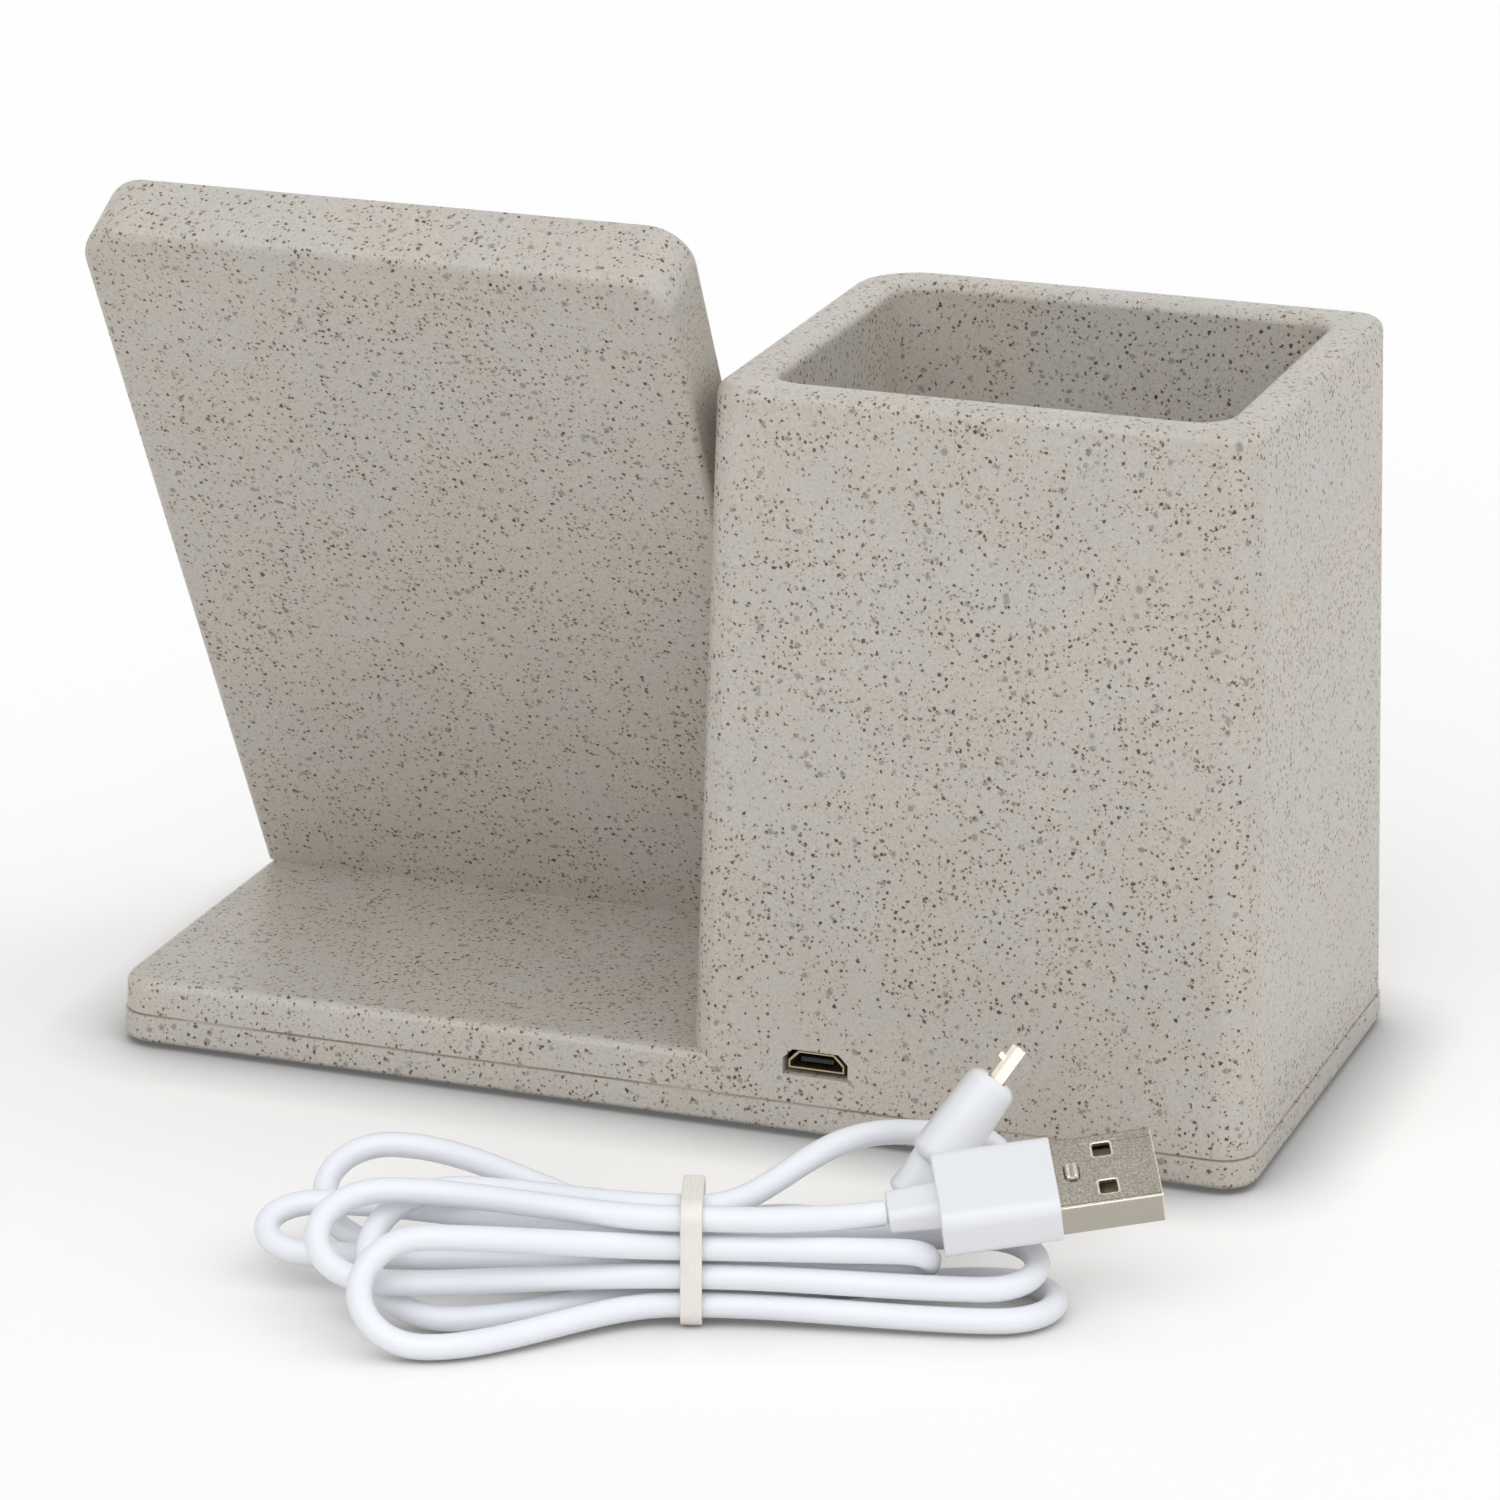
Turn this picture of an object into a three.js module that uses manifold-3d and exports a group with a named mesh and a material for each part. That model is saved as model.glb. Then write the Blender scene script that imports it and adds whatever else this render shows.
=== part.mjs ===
// A desk caddy: a square pen cup and a leaning phone stand with a wireless charging coil on one base,
// with its charging cable tied in a hank in front of it. Millimetres, +Z up, +X along the base towards
// the cup, +Y towards the side where the phone rests. The origin is under the middle of the caddy.

import * as THREE from 'three';
import { mergeVertices } from 'three/addons/utils/BufferGeometryUtils.js';
import Module from 'manifold-3d';

const wasm = await Module();
wasm.setup();

// Base and tower
const length = 156;
const depth = 70;
const deckHeight = 9.5;
const partingHeight = 4.5;
const towerHeight = 98;
const towerStartShare = 0.518;
const draft = THREE.MathUtils.degToRad(1.35);
const cornerRadius = 4.6;
const phoneSideRadius = 9;
const edgeRadius = 1.5;
const wall = 2.2;
const ribThickness = 1.2;
const ribDepth = 1.6;
const fitGap = 0.3;
const overrun = 6;

// Pen cup
const rimWidth = 6;
const cupFloorHeight = 16;
const cupFloorThickness = 2.4;
const cupCornerRadius = 4.5;
const cupFloorRadius = 2;

// Phone stand
const standLeft = 0.5;
const standTowerGap = 0.4;
const standFootInset = 20.9;
const standTilt = THREE.MathUtils.degToRad(28.3);
const standHeight = 112.8;
const standThickness = 11;
const standCornerRadius = 5.8;
const standEdgeRadius = 1.2;
const standBossDiameter = 6;
const standBossHeight = 9;
const spigotWidth = 14;
const spigotDepth = 6;
const spigotWall = 1.2;

// Charging panel, coil and shield
const panelThickness = 2;
const panelMargin = 1.5;
const panelLedge = 1.4;
const panelFoot = 10;
const coilOuterDiameter = 43;
const coilInnerDiameter = 20.5;
const coilWireDiameter = 1.1;
const coilTurns = 9;
const coilRise = 72;
const shieldSize = 50;
const shieldThickness = 1;
const shieldCornerRadius = 3;
const leadDiameter = 1.2;
const leadSpacing = 3;

// Phone ledge
const ledgeHeight = 14.6;
const ledgeDepth = 7.4;

// Bottom cover and feet
const coverThickness = 2.2;
const coverProud = 0.2;
const coverEdgeRadius = 0.8;
const lipThickness = 1.2;
const lipHeight = 1.6;
const pillarDiameter = 7;
const footDiameter = 10;
const footThickness = 1.3;
const footProud = 0.6;
const footInset = 12.5;

// Screws
const screwHeadDiameter = 4.6;
const screwHeadHeight = 1.4;
const screwShankDiameter = 2.4;
const coverScrewLength = 4.8;
const standScrewLength = 9;
const boardScrewLength = 4.6;
const driveDiameter = 2.2;
const driveDepth = 0.8;

// Circuit board and charging socket
const boardWidthShare = 0.61;
const boardDepthShare = 0.49;
const boardThickness = 1.6;
const boardHoleInset = 4;
const portFromTower = 17.7;
const portFromBoardEdge = 12;
const portHeight = 10.35;
const portCutWidth = 8.8;
const portCutHeight = 3.5;
const portCutDrop = 0.25;
const portChamfer = 1.3;
const socketWidth = 7.5;
const socketHeight = 2.4;
const socketDepth = 5.6;
const socketSheet = 0.2;
const socketRecess = 0.5;
const tongueWidth = 4.4;
const tongueThickness = 0.6;
const tongueLength = 3.4;
const chipSize = 7;
const chipThickness = 1;
const driverWidth = 6;
const driverDepth = 5;
const inductorSize = 6.4;
const inductorHeight = 3;
const inductorCornerRadius = 1.2;
const capacitorWidth = 3.2;
const capacitorDepth = 2.5;
const capacitorHeight = 2.2;
const capacitorPitch = 4.2;

// Charging cable and the hank it is tied in
const cableDiameter = 3.1;
const strandPitch = 3.68;
const hankX = 103;
const hankY = -57;
const hankTurn = THREE.MathUtils.degToRad(18);
const bandWidth = 2.6;
const bandThickness = 0.6;
const tailLength = 6;

// Plug for the charger
const usbShellWidth = 12;
const usbShellHeight = 4.5;
const usbShellLength = 12.2;
const usbShellRadius = 0.5;
const usbShellSeat = 2.4;
const usbSheet = 0.35;
const usbBodyWidth = 13;
const usbBodyHeight = 6.8;
const usbBodyLength = 14.3;
const usbBodyRadius = 1.8;
const usbBodyEdge = 0.3;
const usbNeckWidth = 5;
const usbNeckHeight = 3.6;
const usbNeckLength = 6.05;
const usbNeckRadius = 1.2;
const usbNeckTaper = 0.3;
const usbHoleSize = 2.4;
const usbHolePitch = 6.4;
const usbHoleFromMouth = 6.2;
const usbDimpleWidth = 3;
const usbDimpleLength = 1.7;
const usbDimpleProud = 0.45;
const usbDimpleFromBody = 2;
const usbTongueHeight = 1.8;
const usbTongueLength = 10;

// Plug for the caddy
const microBodyWidth = 10.4;
const microBodyHeight = 7.2;
const microBodyLength = 13;
const microBodyRadius = 3;
const microBodyTaper = 0.5;
const microNeckWidth = 6.6;
const microNeckHeight = 6;
const microNeckLength = 5.2;
const microTipWidth = 6.8;
const microTipHeight = 1.8;
const microTipLength = 4.6;
const microTipSheet = 0.3;
const microTipChamfer = 0.6;
const microTipSeat = 1.6;
const microLatchSize = 0.7;

// Numbers of facets
const cornerSteps = 5;
const edgeSteps = 3;
const roundSides = 24;

const slope = Math.tan(draft);
const towerStart = towerStartShare * length;
const standFoot = depth - standFootInset;
const portX = towerStart + portFromTower;
const boardWidth = boardWidthShare * (length - towerStart);
const boardDepth = boardDepthShare * depth;
const deckUnderside = deckHeight - wall;
const coverTop = footProud + coverThickness;
const housingBottom = partingHeight + fitGap / 2;
const coverRim = partingHeight - fitGap / 2;

// Rounded rectangle as a ring of points, anticlockwise seen from above; its far left corner can have a
// radius of its own
function roundedRing({ left, right, near, far, radius, farLeftRadius = radius, z }) {
  const corners = [
    [right - radius, far - radius, radius],
    [left + farLeftRadius, far - farLeftRadius, farLeftRadius],
    [left + radius, near + radius, radius],
    [right - radius, near + radius, radius],
  ];
  return corners.flatMap(([x, y, bend], quarter) =>
    Array.from({ length: cornerSteps + 1 }, (_, step) => {
      const angle = (quarter + step / cornerSteps) * Math.PI / 2;
      return new THREE.Vector3(x + bend * Math.cos(angle), y + bend * Math.sin(angle), z);
    }));
}

// Closed skin through a stack of rings that have as many points each
function loft(rings) {
  const count = rings[0].length;
  const last = (rings.length - 1) * count;
  const index = [];
  for (let start = 0; start < last; start += count) {
    for (let i = 0; i < count; i++) {
      const a = start + i;
      const b = start + (i + 1) % count;
      index.push(a, b, b + count, a, b + count, a + count);
    }
  }
  for (let i = 1; i < count - 1; i++) {
    index.push(0, i + 1, i, last, last + i, last + i + 1);
  }
  const geometry = new THREE.BufferGeometry();
  const position = rings.flat().flatMap((point) => point.toArray());
  geometry.setAttribute('position', new THREE.Float32BufferAttribute(position, 3));
  geometry.setIndex(index);
  return geometry;
}

// Section drawn in or out on all sides, with its corner radii following
function offsetSection(section, inset) {
  const farLeftRadius = section.farLeftRadius ?? section.radius;
  return {
    left: section.left + inset,
    right: section.right - inset,
    near: section.near + inset,
    far: section.far - inset,
    radius: Math.max(section.radius - inset, fitGap),
    farLeftRadius: Math.max(farLeftRadius - inset, fitGap),
    z: section.z,
  };
}

// Rings that round an edge over at the top of a stack (turn 1) or at its bottom (turn -1)
function roundedEnd(sectionAt, endHeight, radius, turn) {
  return Array.from({ length: edgeSteps + 1 }, (_, step) => {
    const angle = (step / edgeSteps) * Math.PI / 2;
    const z = endHeight - turn * radius * (1 - Math.sin(angle));
    const inset = radius * (1 - Math.cos(angle));
    return roundedRing(offsetSection(sectionAt(z), inset));
  });
}

// Box with rounded upright corners and rounded ends, its axis on Z, whose taper draws its top in all round
function softBox(width, height, bottom, top, radius, edge, taper = 0) {
  const sectionAt = (z) => {
    const drawnIn = taper * (z - bottom) / (top - bottom);
    const halfWidth = width / 2 - drawnIn;
    const halfHeight = height / 2 - drawnIn;
    return { left: -halfWidth, right: halfWidth, near: -halfHeight, far: halfHeight, radius, z };
  };
  return loft([
    ...roundedEnd(sectionAt, bottom, edge, -1).reverse(),
    ...roundedEnd(sectionAt, top, edge, 1),
  ]);
}

function block(left, right, near, far, bottom, top) {
  return new THREE.BoxGeometry(right - left, far - near, top - bottom)
    .translate((left + right) / 2, (near + far) / 2, (bottom + top) / 2);
}

function rod(diameter, x, y, bottom, top) {
  return new THREE.CylinderGeometry(diameter / 2, diameter / 2, top - bottom, roundSides)
    .rotateX(Math.PI / 2)
    .translate(x, y, (bottom + top) / 2);
}

// Flat outline in Y and Z pushed along X
function alongX(outline, left, right) {
  const shape = new THREE.Shape(outline.map(([y, z]) => new THREE.Vector2(y, z)));
  return new THREE.ExtrudeGeometry(shape, { depth: right - left, bevelEnabled: false })
    .applyMatrix4(new THREE.Matrix4().makeBasis(
      new THREE.Vector3(0, 1, 0), new THREE.Vector3(0, 0, 1), new THREE.Vector3(1, 0, 0)))
    .translate(left, 0, 0);
}

// Closed surface as a solid that can be joined and cut
function solid(geometry) {
  const bare = geometry.clone();
  bare.deleteAttribute('normal');
  bare.deleteAttribute('uv');
  const merged = mergeVertices(bare);
  const source = merged.index.array;
  const triVerts = [];
  for (let i = 0; i < source.length; i += 3) {
    const [a, b, c] = source.slice(i, i + 3);
    if (a !== b && b !== c && c !== a) {
      triVerts.push(a, b, c);
    }
  }
  return new wasm.Manifold(new wasm.Mesh({
    numProp: 3,
    vertProperties: new Float32Array(merged.attributes.position.array),
    triVerts: new Uint32Array(triVerts),
  }));
}

function surface(manifold) {
  const mesh = manifold.getMesh();
  const geometry = new THREE.BufferGeometry();
  geometry.setAttribute('position', new THREE.BufferAttribute(mesh.vertProperties, mesh.numProp));
  geometry.setIndex(new THREE.BufferAttribute(mesh.triVerts, 1));
  geometry.computeVertexNormals();
  return geometry;
}

function joined(first, ...others) {
  return others.reduce((sum, geometry) => sum.add(solid(geometry)), first);
}

function without(first, ...others) {
  return others.reduce((rest, geometry) => rest.subtract(solid(geometry)), first);
}

const finishes = {
  stonePlastic: { color: '#b3aca1', roughness: 0.45, metalness: 0 },
  rubber: { color: '#33322f', roughness: 0.9, metalness: 0 },
  steel: { color: '#b9bcc0', roughness: 0.35, metalness: 1 },
  nickel: { color: '#c9c5ba', roughness: 0.3, metalness: 1 },
  copper: { color: '#b06a3c', roughness: 0.4, metalness: 1 },
  ferrite: { color: '#2b2b2e', roughness: 0.8, metalness: 0 },
  board: { color: '#1f5a3a', roughness: 0.6, metalness: 0 },
  chip: { color: '#1b1b1d', roughness: 0.5, metalness: 0 },
  ceramic: { color: '#9b7a55', roughness: 0.6, metalness: 0 },
  whiteCable: { color: '#e6e7ec', roughness: 0.4, metalness: 0 },
  whitePlastic: { color: '#e2e3e9', roughness: 0.35, metalness: 0 },
  band: { color: '#e9e4d8', roughness: 0.6, metalness: 0 },
};

function piece(name, finish, geometry, group) {
  const mesh = new THREE.Mesh(geometry, new THREE.MeshStandardMaterial(finishes[finish]));
  mesh.name = name;
  group.add(mesh);
  return mesh;
}

// Outer faces of the base and of the tower, which lean in by the draft

function baseSection(z) {
  const inset = z * slope;
  return { left: inset, right: length - inset, near: inset, far: depth - inset, radius: cornerRadius, z };
}

function towerSection(z) {
  return { ...baseSection(z), left: towerStart + (z - deckHeight) * slope, farLeftRadius: phoneSideRadius };
}

// Foot of the tower, which meets the toe with a plain corner
function towerFootSection(z) {
  return { ...towerSection(z), farLeftRadius: fitGap };
}

// Inside of the pen cup, which opens by the draft towards its mouth
function cupSection(z) {
  const rim = offsetSection({ ...towerSection(towerHeight), z }, rimWidth);
  const inside = offsetSection(rim, (towerHeight - z) * slope);
  return { ...inside, radius: cupCornerRadius, farLeftRadius: cupCornerRadius };
}

// Faces of the stand in the upright plane across the base
const standSlope = Math.tan(standTilt);
const standFootSpan = standThickness / Math.cos(standTilt);
const standRearAt = (z) => standFoot - (z - deckHeight) * standSlope;
const standFrontAt = (z) => standRearAt(z) + standFootSpan;
const standInnerFront = standThickness - panelThickness - wall;
const standHollowMiddle = (wall + standInnerFront) / 2;
const standHollowAt = (z) => standRearAt(z) + standHollowMiddle / Math.cos(standTilt);
const standRight = towerStart - standTowerGap;
const standLength = (standHeight - deckHeight) / Math.cos(standTilt);

// Toe that carries the phone: its ledge stands square to the stand and slopes back to it
function toeOutline(inset) {
  const along = new THREE.Vector2(Math.cos(standTilt), Math.sin(standTilt));
  const up = new THREE.Vector2(-Math.sin(standTilt), Math.cos(standTilt));
  const start = new THREE.Vector2(standFrontAt(ledgeHeight) + fitGap / Math.cos(standTilt), ledgeHeight);
  const corner = start.clone().addScaledVector(along, inset).addScaledVector(up, -inset);
  const topHeight = start.y + ledgeDepth * Math.sin(standTilt) - inset;
  const top = corner.clone().addScaledVector(along, (topHeight - corner.y) / along.y);
  const bottom = inset > 0 ? deckUnderside - ribDepth : deckUnderside;
  const bottomNear = corner.x + (corner.y - bottom) * standSlope;
  return [
    [bottomNear, bottom],
    [depth, bottom],
    [depth, topHeight],
    [top.x, topHeight],
    [corner.x, corner.y],
  ];
}

const toeTop = ledgeHeight + ledgeDepth * Math.sin(standTilt);

// Places shared by the housing, the cover, the feet and the screws
const footPlaces = [
  ['near_left', footInset, footInset],
  ['near_right', length - footInset, footInset],
  ['far_left', footInset, depth - footInset],
  ['far_right', length - footInset, depth - footInset],
];
const pillarTop = partingHeight + fitGap;
const screwBossBottom = pillarTop + fitGap;
const boreDiameter = screwShankDiameter + 2 * fitGap;
const headRecess = screwHeadDiameter + 2 * fitGap;
const footRecessTop = footThickness + fitGap;
const coverScrewSeat = footRecessTop + screwHeadHeight + fitGap;

const standBossTop = deckHeight + fitGap + standBossHeight;
const standBossY = standHollowAt((deckHeight + standBossTop) / 2);
const standMiddle = (standLeft + standRight) / 2;
const standBossReachShare = 0.24;
const standBossOffset = standBossReachShare * (standRight - standLeft);
const standBossPlaces = [
  ['left', standMiddle - standBossOffset],
  ['right', standMiddle + standBossOffset],
];
const spigotY = standHollowAt(deckHeight + wall);

const boardTop = portHeight - socketHeight / 2 - fitGap / 2;
const boardBottom = boardTop - boardThickness;
const boardLeft = portX - portFromBoardEdge;
const boardRight = boardLeft + boardWidth;
const boardNear = boardTop * slope + wall + fitGap;
const boardFar = boardNear + boardDepth;
const boardHoles = [
  ['left', boardLeft + boardHoleInset, boardFar - boardHoleInset],
  ['right', boardRight - boardHoleInset, boardNear + boardHoleInset],
];
const cupFloorBottom = cupFloorHeight - cupFloorThickness;

// Charging port cut-out and the socket share one outline, with its upper corners cut off
function portGeometry(width, height, chamfer, near, far) {
  const shape = new THREE.Shape([
    [-width / 2, -height / 2],
    [width / 2, -height / 2],
    [width / 2, height / 2 - chamfer],
    [width / 2 - chamfer, height / 2],
    [-width / 2 + chamfer, height / 2],
    [-width / 2, height / 2 - chamfer],
  ].map(([x, y]) => new THREE.Vector2(x, y)));
  return new THREE.ExtrudeGeometry(shape, { depth: far - near, bevelEnabled: false })
    .rotateX(Math.PI / 2)
    .translate(portX, far, portHeight);
}

function housingOutside() {
  const base = loft([
    roundedRing(baseSection(housingBottom)),
    ...roundedEnd(baseSection, deckHeight, edgeRadius, 1),
  ]);
  const tower = loft([
    roundedRing(towerSection(housingBottom)),
    ...roundedEnd(towerSection, towerHeight, edgeRadius, 1),
  ]);
  const toeEnvelope = loft([
    roundedRing(baseSection(housingBottom)),
    ...roundedEnd(baseSection, toeTop, edgeRadius, 1),
  ]);
  const towerFoot = loft([
    roundedRing(towerFootSection(housingBottom)),
    roundedRing(towerFootSection(toeTop)),
  ]);
  const toe = joined(solid(alongX(toeOutline(0), 0, towerStart + wall)), towerFoot)
    .intersect(solid(toeEnvelope));
  return joined(solid(base), tower).add(toe);
}

function housingHollow() {
  const innerBase = (z) => offsetSection(baseSection(z), wall);
  const innerTower = (z) => offsetSection(towerSection(z), wall);
  const base = loft([
    roundedRing(innerBase(housingBottom - overrun)),
    roundedRing(innerBase(deckUnderside)),
  ]);
  const tower = loft([
    roundedRing(innerTower(housingBottom - overrun)),
    roundedRing(innerTower(towerHeight - wall)),
  ]);
  const toeEnvelope = loft([
    roundedRing(innerBase(housingBottom - overrun)),
    roundedRing(innerBase(toeTop)),
  ]);
  const toe = solid(alongX(toeOutline(wall), wall, towerStart - fitGap)).intersect(solid(toeEnvelope));
  const innerFoot = (z) => offsetSection(towerFootSection(z), wall);
  const foot = loft([
    roundedRing(innerFoot(housingBottom - overrun)),
    roundedRing(innerFoot(toeTop - wall)),
  ]);
  const linerSection = (z) => offsetSection(cupSection(z), -wall);
  const liner = loft([
    roundedRing(linerSection(cupFloorBottom)),
    roundedRing(linerSection(towerHeight)),
  ]);
  return without(joined(solid(tower), foot), liner).add(solid(base)).add(toe);
}

function cupHollow() {
  const flared = Array.from({ length: edgeSteps + 1 }, (_, step) => {
    const angle = (step / edgeSteps) * Math.PI / 2;
    const z = towerHeight - edgeRadius * (1 - Math.sin(angle));
    return roundedRing(offsetSection(cupSection(z), -edgeRadius * (1 - Math.cos(angle))));
  });
  const mouth = offsetSection(cupSection(towerHeight), -edgeRadius);
  return loft([
    ...roundedEnd(cupSection, cupFloorHeight, cupFloorRadius, -1).reverse(),
    ...flared,
    roundedRing({ ...mouth, z: towerHeight + overrun }),
  ]);
}

// Ribs across the deck's underside, clear of the cover's lip
function deckRibs() {
  const ribShares = [0.28, 0.72];
  const inset = baseSection(deckUnderside).near + wall + lipThickness + 2 * fitGap;
  return ribShares.map((share) => {
    const x = share * towerStart;
    return block(x - ribThickness / 2, x + ribThickness / 2, inset, standRearAt(deckHeight) - fitGap,
      deckUnderside - ribDepth, deckUnderside + wall / 2);
  });
}

function upperHousing() {
  const cupFloorMiddle = cupFloorHeight - cupFloorThickness / 2;
  const bosses = footPlaces.map(([, x, y]) => rod(pillarDiameter, x, y, screwBossBottom, cupFloorMiddle));
  const boardBosses = boardHoles.map(([, x, y]) =>
    rod(pillarDiameter, x, y, boardTop + fitGap, cupFloorMiddle));
  const bores = footPlaces.map(([, x, y]) =>
    rod(boreDiameter, x, y, screwBossBottom - overrun, coverScrewSeat + coverScrewLength + fitGap));
  const boardBores = boardHoles.map(([, x, y]) =>
    rod(boreDiameter, x, y, boardBottom, boardBottom - fitGap + boardScrewLength + fitGap));
  const standHoles = standBossPlaces.map(([, x]) =>
    rod(boreDiameter, x, standBossY, deckUnderside - overrun, deckHeight + overrun));
  const spigotHole = block(
    standMiddle - spigotWidth / 2 - fitGap, standMiddle + spigotWidth / 2 + fitGap,
    spigotY - spigotDepth / 2 - fitGap, spigotY + spigotDepth / 2 + fitGap,
    deckUnderside - fitGap, deckHeight + overrun);
  const port = portGeometry(portCutWidth, portCutHeight, portChamfer, -overrun, boardNear + fitGap)
    .translate(0, 0, -portCutDrop);
  const outside = housingOutside();
  const inner = joined(solid(bosses[0]), ...bosses.slice(1), ...boardBosses, ...deckRibs())
    .intersect(outside);
  const fitted = outside.subtract(housingHollow()).add(inner);
  return surface(without(fitted, cupHollow(), ...bores, ...boardBores, ...standHoles, spigotHole, port));
}

function bottomCover() {
  const outside = (z) => offsetSection(baseSection(z), -coverProud);
  const lip = (z) => offsetSection(baseSection(z), wall + fitGap);
  const pocket = (z) => offsetSection(baseSection(z), wall + fitGap + lipThickness);
  const tray = loft([
    ...roundedEnd(outside, footProud, coverEdgeRadius, -1).reverse(),
    roundedRing(outside(coverRim)),
  ]);
  const lipRing = loft([
    roundedRing(lip(coverTop)),
    roundedRing(lip(partingHeight + lipHeight)),
  ]);
  const hollow = loft([
    roundedRing(pocket(coverTop)),
    roundedRing(pocket(partingHeight + lipHeight + overrun)),
  ]);
  const pillars = footPlaces.map(([, x, y]) => rod(pillarDiameter, x, y, footRecessTop, pillarTop));
  const footRecesses = footPlaces.map(([, x, y]) =>
    rod(footDiameter + 2 * fitGap, x, y, footProud - overrun, footRecessTop));
  const headRecesses = footPlaces.map(([, x, y]) => rod(headRecess, x, y, footProud, coverScrewSeat));
  const bores = footPlaces.map(([, x, y]) => rod(boreDiameter, x, y, footProud, pillarTop + overrun));
  const open = without(joined(solid(tray), lipRing), hollow);
  return surface(without(joined(open, ...pillars), ...footRecesses, ...headRecesses, ...bores));
}

function foot() {
  const chamfer = footThickness / 4;
  const profile = [
    [0, 0],
    [footDiameter / 2 - chamfer, 0],
    [footDiameter / 2, chamfer],
    [footDiameter / 2, footThickness],
    [0, footThickness],
  ];
  return new THREE.LatheGeometry(profile.map(([r, z]) => new THREE.Vector2(r, z)), roundSides)
    .rotateX(Math.PI / 2);
}

// Screw with its head down and its shank pointing up; the seat under the head is at zero
function screw(shankLength) {
  const point = screwShankDiameter / 2;
  const profile = [
    [0, driveDepth - screwHeadHeight],
    [driveDiameter / 2, driveDepth - screwHeadHeight],
    [driveDiameter / 2, -screwHeadHeight],
    [screwHeadDiameter / 2, -screwHeadHeight],
    [screwHeadDiameter / 2, 0],
    [screwShankDiameter / 2, 0],
    [screwShankDiameter / 2, shankLength - point],
    [0, shankLength],
  ];
  return new THREE.LatheGeometry(profile.map(([r, z]) => new THREE.Vector2(r, z)), roundSides / 2)
    .rotateX(Math.PI / 2);
}

// The stand's own frame: X along the base, Y up the slope and Z out of its rear face
const stand = new THREE.Group();
stand.position.set(0, standFoot, deckHeight);
stand.rotation.x = Math.PI / 2 + standTilt;
stand.updateMatrix();
const intoStand = stand.matrix.clone().invert();

// Outline of the stand with rounded upper corners, drawn in by an inset
function standShape(inset, foot) {
  const radius = Math.max(standCornerRadius - inset, fitGap);
  const left = standLeft + inset;
  const right = standRight - inset;
  const top = standLength - inset;
  const shape = new THREE.Shape();
  shape.moveTo(left, foot);
  shape.lineTo(right, foot);
  shape.lineTo(right, top - radius);
  shape.absarc(right - radius, top - radius, radius, 0, Math.PI / 2);
  shape.lineTo(left + radius, top);
  shape.absarc(left + radius, top - radius, radius, Math.PI / 2, Math.PI);
  shape.lineTo(left, foot);
  return shape;
}

function standSlab(inset, foot, back, front) {
  return new THREE.ExtrudeGeometry(standShape(inset, foot),
    { depth: front - back, bevelEnabled: false, curveSegments: cornerSteps }).translate(0, 0, -front);
}

function standOutside() {
  const below = standFootSpan + overrun;
  const rounded = new THREE.ExtrudeGeometry(standShape(standEdgeRadius, -below), {
    depth: standThickness - 2 * standEdgeRadius,
    bevelThickness: standEdgeRadius,
    bevelSize: standEdgeRadius,
    bevelSegments: edgeSteps,
    curveSegments: cornerSteps,
  });
  return solid(rounded.translate(0, 0, standEdgeRadius - standThickness));
}

function aboveDeck(height, bottomGap) {
  const wide = standHeight + depth;
  const slab = block(-wide, length + wide, -wide, depth + wide, deckHeight + bottomGap, height);
  return solid(slab.applyMatrix4(intoStand));
}

function standRearShell() {
  const foot = -standFootSpan;
  const tray = solid(standSlab(wall, foot, wall, standInnerFront));
  const beyond = standThickness + overrun;
  const opening = solid(standSlab(panelMargin + panelLedge, panelFoot + panelLedge, wall, beyond));
  const rebate = solid(standSlab(panelMargin, panelFoot, standThickness - panelThickness - fitGap, beyond));
  const high = standHeight + overrun + standThickness;
  const hollow = tray.intersect(aboveDeck(high, fitGap + wall)).add(opening).add(rebate);
  const bosses = standBossPlaces.map(([, x]) =>
    rod(standBossDiameter, x, standBossY, deckHeight + fitGap, standBossTop).applyMatrix4(intoStand));
  const whole = standOutside().intersect(aboveDeck(high, fitGap));
  const inside = joined(solid(bosses[0]), bosses[1]).intersect(whole);
  const spigot = block(standMiddle - spigotWidth / 2, standMiddle + spigotWidth / 2,
    spigotY - spigotDepth / 2, spigotY + spigotDepth / 2, deckUnderside, deckHeight + wall)
    .applyMatrix4(intoStand);
  const leadHole = block(
    standMiddle - spigotWidth / 2 + spigotWall, standMiddle + spigotWidth / 2 - spigotWall,
    spigotY - spigotDepth / 2 + spigotWall, spigotY + spigotDepth / 2 - spigotWall,
    deckUnderside - overrun, deckHeight + 2 * wall).applyMatrix4(intoStand);
  const boreTop = deckUnderside - fitGap + standScrewLength + fitGap;
  const bores = standBossPlaces.map(([, x]) =>
    rod(boreDiameter, x, standBossY, deckHeight - overrun, boreTop).applyMatrix4(intoStand));
  return surface(without(joined(whole.subtract(hollow).add(inside), spigot), leadHole, ...bores));
}

const panelBack = standThickness - panelThickness;

function chargingPanel() {
  return standSlab(panelMargin + fitGap, panelFoot + fitGap, panelBack, standThickness);
}

const coilMiddle = panelBack - fitGap - coilWireDiameter / 2;
const shieldFront = coilMiddle - coilWireDiameter / 2 - fitGap;
const leadStartInside = coilInnerDiameter / 2 - leadDiameter;
const leadStartOutside = coilOuterDiameter / 2 + leadDiameter / 2;

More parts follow.
